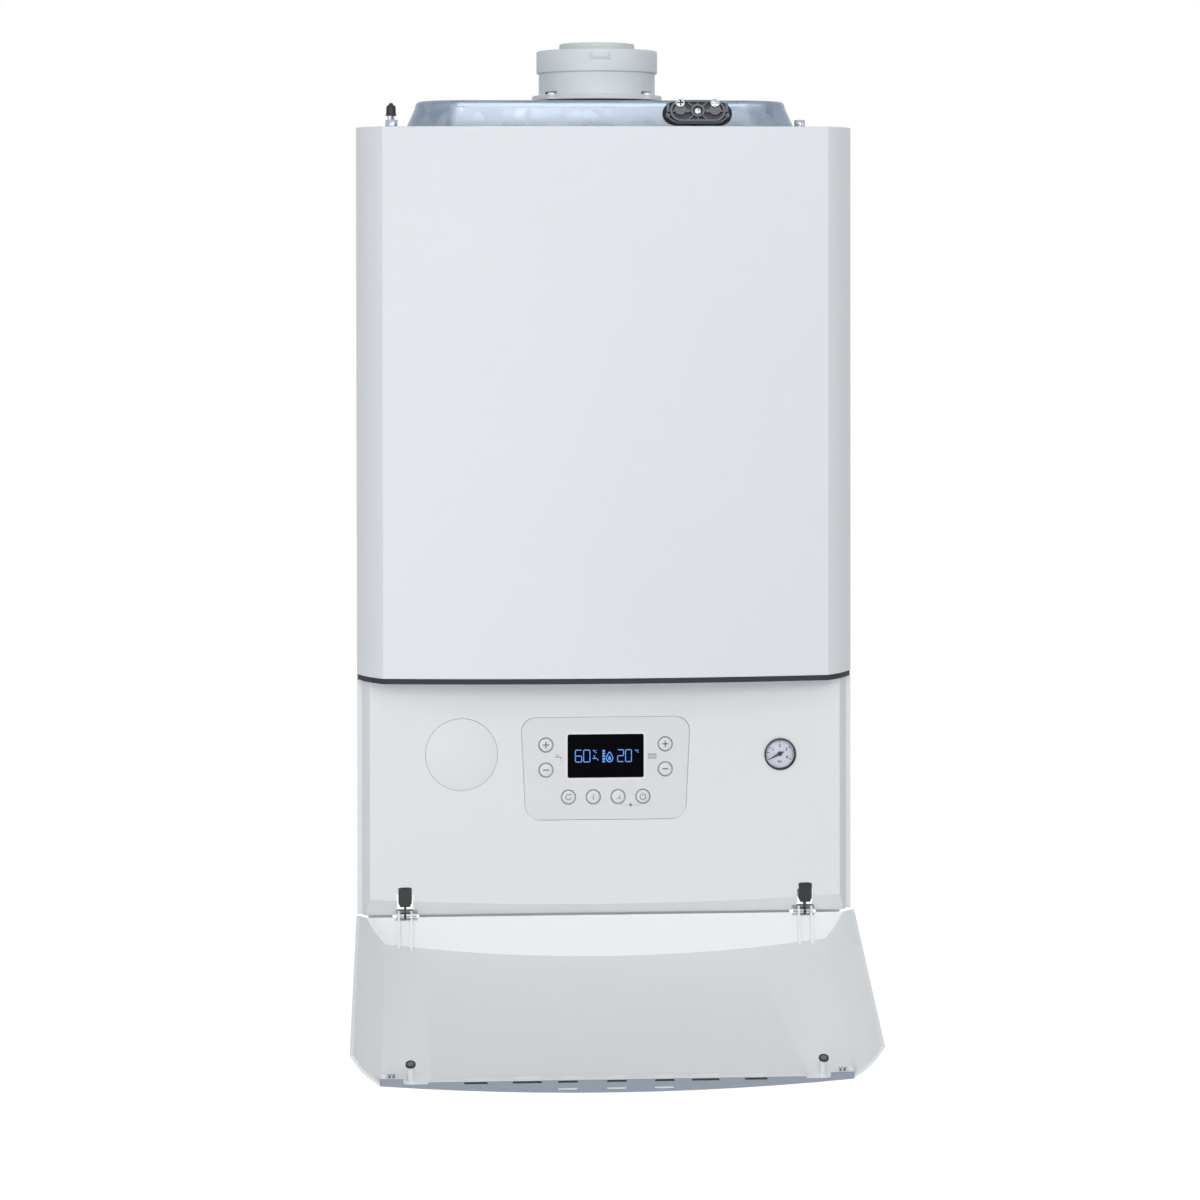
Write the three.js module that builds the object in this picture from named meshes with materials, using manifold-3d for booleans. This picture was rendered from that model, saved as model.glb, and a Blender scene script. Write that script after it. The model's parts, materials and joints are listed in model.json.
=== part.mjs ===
// Wall-hung combi boiler with a 60/100 flue adapter and a drop-down door over its controls.
// Millimetres, +Z up, +X to the right, +Y into the wall. The origin is the middle of the hanging
// line on the wall face of the rear frame. "Drop" is a distance below the top edge of the casing,
// "depth" a distance behind the two vertical creases of the front, towards the wall.
import * as THREE from 'three';
import { mergeVertices } from 'three/addons/utils/BufferGeometryUtils.js';
import Module from 'manifold-3d';

const wasm = await Module();
wasm.setup();

// ------------------------------------------------------------------ driving dimensions
// Clearances
const GAP = 0.3; // between two pieces that seat on each other
const RUNNING = 0.3; // round a pin or shaft that turns
// Casing
const CASE_WIDTH = 410;
const CASE_DEPTH = 295; // wall to the front creases
const HANG_DROP = 40; // casing top down to the hanging slots
const SHEET = 1.2;
const FRONT_BOW = 9.3; // the middle of the front ahead of its creases
const CORNER_WIDTH = 22.3;
const CORNER_DEPTH = 28.5;
const CORNER_BULGE = 2.7;
const SEAM_DEPTH = 33; // front pieces end here, side panels begin
const COVER_HEIGHT = 450.9;
const FASCIA_HEIGHT = 193.9;
const COVER_FLANGE = 14;
const SIDE_FLANGE = 12;
const HANG_SLOT_INSET = 85; // from the casing's side to the middle of a slot
const HANG_SLOT_WIDTH = 46;
const HANG_SLOT_HEIGHT = 10;
const FIXING_HOLE_INSET = 55;
const FIXING_HOLE_HEIGHT = 37.5; // above the casing's bottom
const FIXING_HOLE_RADIUS = 4;
// Accent strip between the cover and the fascia
const STRIP_HEIGHT = 4.1;
const STRIP_INSET = 0.8;
const STRIP_WIDTH = 22;
// Fascia
const FASCIA_WALL = 2.5;
const FASCIA_DEPTH = 17;
const REBATE_DEPTH = 29.5; // the ledge that the door's rim closes on
const LIP_HEIGHT = 8.5; // where the sloped lip begins, above the casing's bottom
const LIP_RISE = 6.5; // how much higher it begins at the sides
const LIP_BACK_DEPTH = 24;
// Blank cover
const BLANK_RADIUS = 29.7;
const BLANK_PLACE = 0.362; // share of the way from the control plate to the casing's side
const BLANK_BELOW = 60.8; // below the fascia's top edge
const BLANK_THICKNESS = 1.8;
const BLANK_REBATE = 1.2;
const BLANK_SEAT = 3.5;
// Control plate and display
const PLATE_TOP_WIDTH = 139.8;
const PLATE_BOTTOM_WIDTH = 131.8;
const PLATE_BELOW = 31.1; // below the fascia's top edge
const PLATE_HEIGHT = 84.4;
const PLATE_CORNER = 12;
const PLATE_THICKNESS = 1.6;
const PLATE_RECESS = 0.5;
const PLATE_LEDGE = 3;
const DISPLAY_WIDTH = 62.4;
const DISPLAY_HEIGHT = 35.4;
const DISPLAY_BELOW = 14.3; // below the plate's top edge, as the buttons are
const DISPLAY_THICKNESS = 3;
// Push buttons
const BUTTON_RADIUS = 5.3;
const BUTTON_HOLE = 5.8;
const BUTTON_FLANGE = 6.6;
const BUTTON_FLANGE_THICKNESS = 1;
const BUTTON_TRAVEL = 0.8;
const BUTTON_STEM = 2;
const SIDE_BUTTON_X = 49.3;
const PLUS_BELOW = 22.6;
const MINUS_BELOW = 43.3;
const ROW_BUTTON_BELOW = 65.8;
const ROW_BUTTON_PITCH = 20.5;
// Pressure gauge
const GAUGE_INSET = 60.4; // from the casing's side
const GAUGE_BELOW = 63; // below the fascia's top edge
const GAUGE_RADIUS = 13.2;
const GAUGE_BODY_RADIUS = 12.2;
const GAUGE_PROUD = 1.6;
const GAUGE_LENGTH = 20;
const GAUGE_WALL = 1.4;
const GAUGE_DIAL_DEPTH = 3.6; // from the rim's face back to the dial
const NEEDLE_REACH = 9.6;
const NEEDLE_TAIL = 3.5;
const NEEDLE_REST = 207.5; // degrees anticlockwise from +X, seen from the front: no pressure
// Door
const DOOR_TOP_CLEAR = 0.4; // below the fascia's top edge
const DOOR_WALL = 2.6;
const DOOR_CLEAR = 1.5; // between the closed door and the fascia's corners
const DOOR_OPEN = 111.5; // degrees from closed to the stop
const RETURN_HEIGHT = 13; // where the door's bottom return leaves the crease line
const RETURN_SLOPE = 0.849;
const RETURN_DEPTH = 17; // where the return ends
const DOOR_SIDE_HEIGHT = 11.5;
const LEDGE_HEIGHT = 27; // the wedge behind the door's free end
const LEDGE_INSET = 62;
const LEDGE_DEPTH = 2.4;
// Door trim
const TRIM_THICKNESS = 1.3;
const TRIM_INSET = 22.7;
const TRIM_DEPTH = 2.4;
const TAB_WIDTH = 18;
const TAB_DEPTH = 6;
const TAB_RELIEF = 19; // the low stretch inboard of each tab
const SLOT_NOTCH = 1.6;
const SLOT_POCKET = 6;
// Catches
const CATCH_INSET = 46.2;
const CATCH_BELOW = 6.5; // below the door's top edge
const CATCH_RADIUS = 3.9;
const CATCH_THICKNESS = 2;
const CATCH_POST = 2.6;
// Hinges
const PIVOT_DEPTH = 21;
const PIVOT_HEIGHT = 0.5; // above the casing's bottom
const HINGE_INSET = 39.6;
const EAR_SPACING = 10.4;
const EAR_THICKNESS = 1.8;
const EAR_RADIUS = 4;
const EAR_TOP_HEIGHT = 21.5;
const PIN_RADIUS = 2;
const PIN_LENGTH = 16.4;
const PIN_OFFSET = -1.2; // the pins stand out further on their inboard side
const BRACKET_WIDTH = 7.6;
const BRACKET_TOP_HEIGHT = 23.9;
const BRACKET_HEIGHT = 16;
const BRACKET_LENGTH = 16.4;
const BLADE_THICKNESS = 1.8;
const BLADE_RADIUS = 3.4;
const SLOT_SHOULDER = 5.4; // the narrow part of the fascia's slot
// Control box
const CONTROL_BOX_LEFT_MARGIN = 16.1; // beyond the control plate
const CONTROL_BOX_RIGHT_MARGIN = 30.1;
const CONTROL_BOX_BELOW = 14.4; // below the fascia's top edge
const CONTROL_BOX_HEIGHT = 27.5; // above the casing's bottom
const CONTROL_BOX_BACK = 52;
const CONTROL_WALL = 2;
const BOARD_WIDTH = 132;
const BOARD_HEIGHT = 76;
const BOARD_DEPTH = 28;
const BOARD_THICKNESS = 1.6;
const STANDOFF_RADIUS = 3;
// Chamber hood on top
const HOOD_INSET = 40; // from the casing's sides
const HOOD_REAR = 45; // from the wall
const HOOD_TAPER = 8;
const HOOD_HEIGHT = 24;
const HOOD_CORNER = 42;
const HOOD_FOOT = 7;
const HOOD_FRONT_DEPTH = 44;
const HOOD_CLIP_WIDTH = 8;
const HOOD_CLIP_HEIGHT = 11;
// Flue
const FLUE_DEPTH = 147; // behind the front creases
const FLUE_OUTER_RADIUS = 50.4;
const FLUE_BELL_RADIUS = 52.5;
const FLUE_WALL = 2;
const FLUE_FLANGE_RADIUS = 56.4;
const FLUE_FLANGE_THICKNESS = 4.3;
const FLUE_LUG_RADIUS = 5;
const FLUE_BELL_BOTTOM = 51.5; // heights above the casing top
const FLUE_BELL_TOP = 70;
const FLUE_INNER_TOP = 76.5;
const FLUE_INNER_RADIUS = 32.6;
const FLUE_INNER_WALL = 1.8;
const FLUE_GASKET_RADIUS = 52;
const FLUE_GASKET_THICKNESS = 2.2;
const FLUE_TAB_WIDTH = 17.5;
const FLUE_TAB_HEIGHT = 5.5;
const FLUE_WEB_RING = 2;
const FLUE_WEB_HEIGHT = 5;
const DUCT_TOP = 22;
// Inlet cover on the hood's front
const INLET_FROM_CORNER = 14.9; // from the hood's rounded corner
const INLET_WIDTH = 46.4;
const INLET_HEIGHT = 19.4;
const INLET_THICKNESS = 5;
const INLET_GASKET_WIDTH = 58.2;
const INLET_GASKET_HEIGHT = 20.6;
const INLET_GASKET_THICKNESS = 1.6;
const INLET_RISE = 12.4;
const INLET_SCREW_SPACING = 29;
// Charging valve
const VALVE_INSET = 24.1;
const VALVE_STEM = 3.3;
const VALVE_HEX = 6;
const VALVE_BASE_RISE = 10;
const VALVE_HEX_HEIGHT = 5.4;
const VALVE_CAP_RISE = 19.4;
const VALVE_CAP_HEIGHT = 11.8;
const VALVE_CAP_RADIUS = 4.9;
const VALVE_TUBE = 5;
// Inside
const FLOOR_RISE = 54.9; // the chamber's floor, above the cover's lower edge
const VESSEL_INSET = 13;
const VESSEL_THICKNESS = 46;
const VESSEL_CORNER = 50;
const VESSEL_DROP = 50;
const VESSEL_CLEAR = 26; // above the chamber's floor
const EXCHANGER_HEIGHT = 134; // its axis above the chamber's floor
const EXCHANGER_RADIUS = 105;
const EXCHANGER_DEPTH = 101.2; // its front end, behind the creases
const EXCHANGER_COLLAR = 38;
const EXCHANGER_COLLAR_RISE = 112; // above the axis
const EXCHANGER_FOOT = 24;
const EXCHANGER_FEET_SPACING = 116;
const BURNER_RADIUS = 86;
const BURNER_THICKNESS = 9;
const ELBOW_RADIUS = 24;
const FAN_RADIUS = 48;
const FAN_DEPTH = 36;
const FAN_X = -50;
const FAN_HEIGHT = 51; // above the chamber's floor
const FAN_INLET = 24;
const FAN_BLADES = 10;
const FAN_MOTOR_RADIUS = 26;
const FAN_MOTOR_LENGTH = 11;
const PUMP_RADIUS = 40;
const PUMP_DEPTH = 40;
const PUMP_HEIGHT = 169.5; // above the casing's bottom
const PUMP_MOTOR_RADIUS = 30;
const PUMP_MOTOR_LENGTH = 34;
const NECK_RISE = 46; // the water pipes' lower ends, above the pump's axis
const NECK_RADIUS = 15;
const PUMP_INLET = 12;
const PUMP_BLADES = 6;
const SHAFT_RADIUS = 4;
const HOUSING_WALL = 4;
const IMPELLER_CLEAR = 2;
const PIPE_RADIUS = 9;
const PIPE_ROW = 78; // the row of water pipes, from the wall
const PORT_BELOW = 23; // flow and return ports, below the exchanger's axis
const PORT_RADIUS = 12;
const PORT_TO_PIPE = 20;
const LARGE_TAIL = 11;
const SMALL_TAIL = 7.5;
const CAP_WALL = 1.5;
const CAP_HEIGHT = 9;
const TAIL_BELOW = 15.5; // below the casing's bottom
const TAIL_PITCH = 65; // the usual row of five
const NUT_RIM = 4.5;
const NUT_HEIGHT = 8;
const BRACKET_PLATE_HEIGHT = 15.5;
const BRACKET_REACH = 40;
const BRACKET_LIP = 12;
const WATER_BLOCK_HEIGHT = 59.5; // the pump's and diverter's foot, above the casing's bottom
const DIVERTER_RADIUS = 20;
const DIVERTER_CAGE = 14;
const DIVERTER_CAGE_RADIUS = 17;
const DIVERTER_MOTOR = 48;
const DIVERTER_MOTOR_LENGTH = 42;
const SPINDLE_RADIUS = 4;
const SPINDLE_TRAVEL = 6;
const SPINDLE_LENGTH = 34;
const PLATES_WIDTH = 190;
const PLATES_HEIGHT = 62;
const PLATES_LENGTH = 58;
const PLATE_COUNT = 7;
const PLATES_TOP_HEIGHT = 127.5;
const GAS_VALVE_X = 100;
const GAS_VALVE_WIDTH = 58;
const GAS_VALVE_DEPTH = 40;
const GAS_VALVE_HEIGHT = 66;
const GAS_COIL_RADIUS = 12;
const GAS_COIL_HEIGHT = 22;
const GAS_PORT_RADIUS = 9;
const GAS_PORT_HEIGHT = 28;
const GAS_PIPE_RADIUS = 6;
const GAS_DEPTH = 69; // behind the front creases
const GAS_TAIL_HEIGHT = 37.5;
const GAS_RISER_HEIGHT = 48.5;
const GAS_CROSS_BELOW = 34; // below the chamber's floor
const GAS_RISER_CLEAR = 29; // ahead of the plate exchanger
const GAS_BEND = 9;
const TRAP_RADIUS = 21;
const TRAP_X = -38;
const TRAP_ROW = 150;
const TRAP_LENGTH = 96;
const TRAP_OUTLET = 9;
const TRAP_NECK = 13;
const TRAP_RING = 2.5;
const DRAIN_LENGTH = 4; // below the chamber's floor
const RELIEF_RADIUS = 11;
const RELIEF_HEIGHT = 89.5; // above the casing's bottom
const RELIEF_CLEAR = 29; // from the casing's side to the knob's seat
const KNOB_RADIUS = 13;
const KNOB_LENGTH = 16;

// ------------------------------------------------------------------ datums
const TOP = HANG_DROP; // height of the casing's top edge
const FRONT = -CASE_DEPTH; // where the front creases stand
const HALF = CASE_WIDTH / 2;
const level = (drop) => TOP - drop;
const depth = (behindCreases) => FRONT + behindCreases;
const INNER_HALF = HALF - SHEET - GAP; // what fits between the side panels

// Down the front
const STRIP_TOP_DROP = COVER_HEIGHT + GAP;
const FASCIA_TOP_DROP = STRIP_TOP_DROP + STRIP_HEIGHT + GAP;
const CASE_HEIGHT = FASCIA_TOP_DROP + FASCIA_HEIGHT;
const aboveBottom = (height) => CASE_HEIGHT - height;
const LIP_DROP = aboveBottom(LIP_HEIGHT);
const PLATE_DROP = FASCIA_TOP_DROP + PLATE_BELOW;
const DISPLAY_DROP = PLATE_DROP + DISPLAY_BELOW;
const PLUS_DROP = PLATE_DROP + PLUS_BELOW;
const MINUS_DROP = PLATE_DROP + MINUS_BELOW;
const ROW_BUTTON_DROP = PLATE_DROP + ROW_BUTTON_BELOW;
const BLANK_X = -(PLATE_TOP_WIDTH / 2 + BLANK_PLACE * (HALF - PLATE_TOP_WIDTH / 2));
const BLANK_DROP = FASCIA_TOP_DROP + BLANK_BELOW;
const GAUGE_X = HALF - GAUGE_INSET;
const GAUGE_DROP = FASCIA_TOP_DROP + GAUGE_BELOW;
const CONTROL_BOX_LEFT = -PLATE_TOP_WIDTH / 2 - CONTROL_BOX_LEFT_MARGIN;
const CONTROL_BOX_RIGHT = PLATE_TOP_WIDTH / 2 + CONTROL_BOX_RIGHT_MARGIN;
const CONTROL_BOX_TOP = FASCIA_TOP_DROP + CONTROL_BOX_BELOW;
const CONTROL_BOX_BOTTOM = aboveBottom(CONTROL_BOX_HEIGHT);
// Door and hinges
const DOOR_TOP_DROP = FASCIA_TOP_DROP + DOOR_TOP_CLEAR;
const RETURN_DROP = aboveBottom(RETURN_HEIGHT);
const DOOR_SIDE_DROP = aboveBottom(DOOR_SIDE_HEIGHT);
const LEDGE_HALF = HALF - LEDGE_INSET;
const TRIM_HALF = HALF - TRIM_INSET;
const CATCH_X = HALF - CATCH_INSET;
const CATCH_DROP = DOOR_TOP_DROP + CATCH_BELOW;
const HINGE_X = HALF - HINGE_INSET;
const EAR_TOP_DROP = aboveBottom(EAR_TOP_HEIGHT);
const BRACKET_DROP = aboveBottom(BRACKET_TOP_HEIGHT);
const PIVOT = new THREE.Vector2(depth(PIVOT_DEPTH), level(aboveBottom(PIVOT_HEIGHT)));
// On top
const HOOD_BASE_WIDTH = CASE_WIDTH - 2 * HOOD_INSET;
const HOOD_BASE_LENGTH = CASE_DEPTH - HOOD_FRONT_DEPTH - HOOD_REAR;
const FLUE_TO_WALL = CASE_DEPTH - FLUE_DEPTH;
const INLET_X = HOOD_BASE_WIDTH / 2 - HOOD_CORNER - INLET_GASKET_WIDTH / 2 - INLET_FROM_CORNER;
const VALVE_X = -(HALF - VALVE_INSET);
// In the chamber
const FLOOR_DROP = COVER_HEIGHT - FLOOR_RISE;
const VESSEL_WIDTH = CASE_WIDTH - 2 * VESSEL_INSET;
const VESSEL_HEIGHT = FLOOR_DROP - VESSEL_DROP - VESSEL_CLEAR;
const EXCHANGER_DROP = FLOOR_DROP - EXCHANGER_HEIGHT;
const EXCHANGER_COLLAR_DROP = EXCHANGER_DROP - EXCHANGER_COLLAR_RISE;
const PORT_DROP = EXCHANGER_DROP + PORT_BELOW;
const FAN_DROP = FLOOR_DROP - FAN_HEIGHT;
const GAS_ROW = CASE_DEPTH - GAS_DEPTH;
// Under the chamber
const PUMP_X = 2 * TAIL_PITCH;
const PORT_REACH = PUMP_X - PORT_TO_PIPE;
const PUMP_DROP = aboveBottom(PUMP_HEIGHT);
const NECK_DROP = PUMP_DROP - NECK_RISE;
const PLATES_DROP = aboveBottom(PLATES_TOP_HEIGHT);
const SIDE_PORT_DROP = PLATES_DROP + PLATES_HEIGHT / 2;
const WATER_BLOCK_DROP = aboveBottom(WATER_BLOCK_HEIGHT);
const BRACKET_PLATE_DROP = aboveBottom(BRACKET_PLATE_HEIGHT);
const TAIL_DROP = CASE_HEIGHT + TAIL_BELOW;
const RELIEF_DROP = aboveBottom(RELIEF_HEIGHT);
const RELIEF_SEAT_X = -(HALF - RELIEF_CLEAR);

// ------------------------------------------------------------------ materials
const finish = (color, roughness, metalness = 0) =>
  new THREE.MeshStandardMaterial({ color, roughness, metalness });
const whitePaint = finish(0xe9ecee, 0.38);
const whitePlastic = finish(0xe6e9ea, 0.45);
const platePlastic = finish(0xe0e2e2, 0.42);
const slatePlastic = finish(0x3d424d, 0.5);
const greyTrim = finish(0x9aa5b1, 0.45);
const greyPlastic = finish(0x6d7075, 0.55);
const blackPlastic = finish(0x17181a, 0.5);
const rubber = finish(0x1c1c1d, 0.85);
const displayGlass = finish(0x0b0c12, 0.12);
const dialWhite = finish(0xf2f2ee, 0.5);
const clearLens = finish(0xf4f8fa, 0.05);
const galvanised = finish(0xa9b4bf, 0.35, 0.85);
const steel = finish(0xb9bcc0, 0.3, 0.9);
const castAluminium = finish(0xa9abad, 0.55, 0.8);
const brassMetal = finish(0xc2a15a, 0.35, 0.9);
const copper = finish(0xc07a50, 0.35, 0.9);
const redPaint = finish(0xa8322a, 0.5);
const boardGreen = finish(0x2f6b45, 0.6);

// ------------------------------------------------------------------ solids
/** A closed BufferGeometry as a solid with its faces pointing out. */
function solid(geometry) {
  const bare = geometry.clone();
  for (const name of Object.keys(bare.attributes)) {
    if (name !== 'position') bare.deleteAttribute(name);
  }
  const merged = mergeVertices(bare, 1e-4);
  const at = merged.attributes.position.array;
  const faces = Array.from(merged.index.array);
  const tidy = [];
  let volume = 0;
  const corner = [new THREE.Vector3(), new THREE.Vector3(), new THREE.Vector3()];
  for (let i = 0; i < faces.length; i += 3) {
    const [a, b, c] = faces.slice(i, i + 3);
    if (a === b || b === c || a === c) continue;
    tidy.push([a, b, c]);
    [a, b, c].forEach((v, k) => corner[k].fromArray(at, v * 3));
    volume += corner[0].dot(corner[1].cross(corner[2]));
  }
  const outward = volume > 0 ? tidy : tidy.map(([a, b, c]) => [a, c, b]);
  return new wasm.Manifold(new wasm.Mesh({
    numProp: 3,
    vertProperties: new Float32Array(at),
    triVerts: new Uint32Array(outward.flat()),
  }));
}

function geometryOf(body) {
  const mesh = body.getMesh();
  const geometry = new THREE.BufferGeometry();
  geometry.setAttribute('position', new THREE.BufferAttribute(new Float32Array(mesh.vertProperties), 3));
  geometry.setIndex(new THREE.BufferAttribute(new Uint32Array(mesh.triVerts), 1));
  geometry.computeVertexNormals();
  return geometry;
}

const join = (...bodies) => bodies.reduce((all, next) => all.add(next));
const cut = (body, ...tools) => tools.reduce((rest, tool) => rest.subtract(tool), body);

// ------------------------------------------------------------------ outlines and sweeps
function outlineOf(points) {
  const corners = points.map(([x, y]) => new THREE.Vector2(x, y));
  const apart = corners.filter((corner, i) => corner.distanceTo(corners.at(i - 1)) > 1e-3);
  return new THREE.Shape(apart);
}

function roundedRect(width, height, radius, x = 0, y = 0) {
  return roundedPolygon([
    [x - width / 2, y - height / 2], [x + width / 2, y - height / 2],
    [x + width / 2, y + height / 2], [x - width / 2, y + height / 2],
  ], radius);
}

const stadium = (width, height, x = 0, y = 0) => roundedRect(width, height, height / 2 - 0.01, x, y);

/** A polygon with each corner rounded by a curve that starts `radius` from it. */
function roundedPolygon(points, radius) {
  const shape = new THREE.Shape();
  const corners = points.map(([x, y]) => new THREE.Vector2(x, y));
  corners.forEach((here, i) => {
    const before = corners[(i + corners.length - 1) % corners.length];
    const after = corners[(i + 1) % corners.length];
    const start = here.clone().add(before.clone().sub(here).setLength(radius));
    const end = here.clone().add(after.clone().sub(here).setLength(radius));
    if (i === 0) shape.moveTo(start.x, start.y);
    else shape.lineTo(start.x, start.y);
    const pull = 0.55 * radius; // makes the curve nearly a circle's quarter
    const a = start.clone().add(here.clone().sub(start).setLength(pull));
    const b = end.clone().add(here.clone().sub(end).setLength(pull));
    shape.bezierCurveTo(a.x, a.y, b.x, b.y, end.x, end.y);
  });
  shape.closePath();
  return shape;
}

const extruded = (shape, length, curveSegments) =>
  new THREE.ExtrudeGeometry(shape, { depth: length, bevelEnabled: false, curveSegments });

/** A plan (x, y) raised along +Z from the height z. */
const raised = (shape, z, height, segments = 8) =>
  solid(extruded(shape, height, segments).translate(0, 0, z));

/** A side view (y, z) run along +X from x. */
function across(shape, x, length, segments = 8) {
  const turn = new THREE.Matrix4().makeBasis(
    new THREE.Vector3(0, 1, 0), new THREE.Vector3(0, 0, 1), new THREE.Vector3(1, 0, 0));
  return solid(extruded(shape, length, segments).applyMatrix4(turn).translate(x, 0, 0));
}

/** A front view (x, z) brought forward, towards -Y, from y. */
const forward = (shape, y, length, segments = 8) =>
  solid(extruded(shape, length, segments).rotateX(Math.PI / 2).translate(0, y, 0));

/** More sides for a larger round, always a multiple of four so that a pin and its bore line up. */
const sidesOf = (radius) => Math.min(24, 4 * Math.round(1.4 + 0.52 * Math.sqrt(radius)));
const widest = (profile) => Math.max(...profile.map(([r]) => r));

function box(x0, x1, y0, y1, z0, z1) {
  const geometry = new THREE.BoxGeometry(x1 - x0, y1 - y0, z1 - z0);
  return solid(geometry.translate((x0 + x1) / 2, (y0 + y1) / 2, (z0 + z1) / 2));
}

function rodX(radius, x0, x1, y, z, sides = sidesOf(radius)) {
  const rod = new THREE.CylinderGeometry(radius, radius, x1 - x0, sides).rotateZ(-Math.PI / 2);
  return solid(rod.translate((x0 + x1) / 2, y, z));
}

function rodY(radius, y0, y1, x, z, sides = sidesOf(radius)) {
  const rod = new THREE.CylinderGeometry(radius, radius, y1 - y0, sides);
  return solid(rod.translate(x, (y0 + y1) / 2, z));
}

function rodZ(radius, z0, z1, x, y, sides = sidesOf(radius)) {
  const rod = new THREE.CylinderGeometry(radius, radius, z1 - z0, sides).rotateX(Math.PI / 2);
  return solid(rod.translate(x, y, (z0 + z1) / 2));
}

/** A profile of [radius, height] pairs turned about a vertical axis at (x, y). */
function spun(profile, x, y, sides = sidesOf(widest(profile))) {
  const points = profile.map(([r, h]) => new THREE.Vector2(r, h));
  return solid(new THREE.LatheGeometry(points, sides).rotateX(Math.PI / 2).translate(x, y, 0));
}

/** The same about an axis along Y, with the profile's height running forward from y. */
function spunForward(profile, x, y, z, sides = sidesOf(widest(profile))) {
  const points = profile.map(([r, h]) => new THREE.Vector2(r, h));
  return solid(new THREE.LatheGeometry(points, sides).rotateX(Math.PI).translate(x, y, z));
}

/** A skin over rings of points, each ring convex and with as many points as the last. */
function loft(rings) {
  const count = rings[0].length;
  const position = rings.flatMap((ring) => ring.flatMap((p) => [p.x, p.y, p.z]));
  const index = [];
  for (let r = 0; r + 1 < rings.length; r += 1) {
    for (let i = 0; i < count; i += 1) {
      const a = r * count + i;
      const b = r * count + ((i + 1) % count);
      index.push(a, b, b + count, a, b + count, a + count);
    }
  }
  const last = (rings.length - 1) * count;
  for (let i = 1; i + 1 < count; i += 1) {
    index.push(0, i + 1, i, last, last + i, last + i + 1);
  }
  const geometry = new THREE.BufferGeometry();
  geometry.setAttribute('position', new THREE.Float32BufferAttribute(position, 3));
  geometry.setIndex(index);
  return solid(geometry);
}

/** A round bar along straight runs joined by bends of one radius. */
function bentBar(corners, radius, bend, sides = 8) {
  const at = corners.map(([x, y, z]) => new THREE.Vector3(x, y, z));
  const path = [at[0]];
  for (let i = 1; i + 1 < at.length; i += 1) {
    const start = at[i].clone().add(at[i - 1].clone().sub(at[i]).setLength(bend));
    const end = at[i].clone().add(at[i + 1].clone().sub(at[i]).setLength(bend));
    const curve = new THREE.QuadraticBezierCurve3(start, at[i], end);
    path.push(...curve.getPoints(3));
  }
  path.push(at[at.length - 1]);
  let normal = new THREE.Vector3();
  const rings = path.map((point, i) => {
    const back = path[Math.max(i - 1, 0)];
    const ahead = path[Math.min(i + 1, path.length - 1)];
    const along = ahead.clone().sub(back).normalize();
    if (i === 0) {
      const aside = Math.abs(along.x) > 0.9 ? new THREE.Vector3(0, 1, 0) : new THREE.Vector3(1, 0, 0);
      normal = aside.sub(along.clone().multiplyScalar(aside.dot(along))).normalize();
    } else {
      normal = normal.sub(along.clone().multiplyScalar(normal.dot(along))).normalize();
    }
    const other = along.clone().cross(normal);
    return Array.from({ length: sides }, (_, k) => {
      const angle = (k / sides) * Math.PI * 2;
      return point.clone()
        .add(normal.clone().multiplyScalar(radius * Math.cos(angle)))
        .add(other.clone().multiplyScalar(radius * Math.sin(angle)));
    });
  });
  return loft(rings);
}

/** The corners of a rounded rectangle in plan, at the height z. */
function planRing(width, length, radius, x, y, z, steps = 3) {
  const ring = [];
  [[1, -1], [1, 1], [-1, 1], [-1, -1]].forEach(([sx, sy], quarter) => {
    for (let i = 0; i <= steps; i += 1) {
      const angle = (quarter - 1 + i / steps) * Math.PI / 2;
      ring.push(new THREE.Vector3(
        x + sx * (width / 2 - radius) + radius * Math.cos(angle),
        y + sy * (length / 2 - radius) + radius * Math.sin(angle), z));
    }
  });
  return ring;
}

// ------------------------------------------------------------------ scene graph
const boiler = new THREE.Group();
const doorGroup = new THREE.Group();
doorGroup.position.set(0, PIVOT.x, PIVOT.y);
doorGroup.rotation.x = THREE.MathUtils.degToRad(DOOR_OPEN);
boiler.add(doorGroup);

function piece(name, body, material, parent = boiler) {
  const geometry = geometryOf(body);
  if (parent !== boiler) {
    geometry.translate(-parent.position.x, -parent.position.y, -parent.position.z);
  }
  const mesh = new THREE.Mesh(geometry, material);
  mesh.name = name;
  parent.add(mesh);
}

// ------------------------------------------------------------------ the front's plan
// The front is one flat arc between its creases, and an arc from each crease to the side.
const creaseHalf = HALF - CORNER_WIDTH;
const bowRadius = (creaseHalf ** 2 + FRONT_BOW ** 2) / (2 * FRONT_BOW);
const bowCentre = FRONT - FRONT_BOW + bowRadius;
const cornerChord = Math.hypot(CORNER_WIDTH, CORNER_DEPTH);
const cornerRadius = ((cornerChord / 2) ** 2 + CORNER_BULGE ** 2) / (2 * CORNER_BULGE);
const cornerInward = (cornerRadius - CORNER_BULGE) / cornerChord;
const cornerCentre = new THREE.Vector2(
  HALF - CORNER_WIDTH / 2 - CORNER_DEPTH * cornerInward,
  FRONT + CORNER_DEPTH / 2 + CORNER_WIDTH * cornerInward);

const bowAt = (x, inset) => bowCentre - Math.sqrt((bowRadius - inset) ** 2 - x * x);
const cornerAt = (x, inset) =>
  cornerCentre.y - Math.sqrt((cornerRadius - inset) ** 2 - (x - cornerCentre.x) ** 2);
const cornerReach = (y, inset) =>
  cornerCentre.x + Math.sqrt((cornerRadius - inset) ** 2 - (cornerCentre.y - y) ** 2);

/** Where the front's arc and the corner's arc meet, both set in by `inset`. */
function creaseAt(inset) {
  let near = cornerCentre.x;
  let far = HALF - inset;
  for (let i = 0; i < 40; i += 1) {
    const middle = (near + far) / 2;
    if (bowAt(middle, inset) > cornerAt(middle, inset)) near = middle;
    else far = middle;
  }
  return (near + far) / 2;
}

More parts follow.
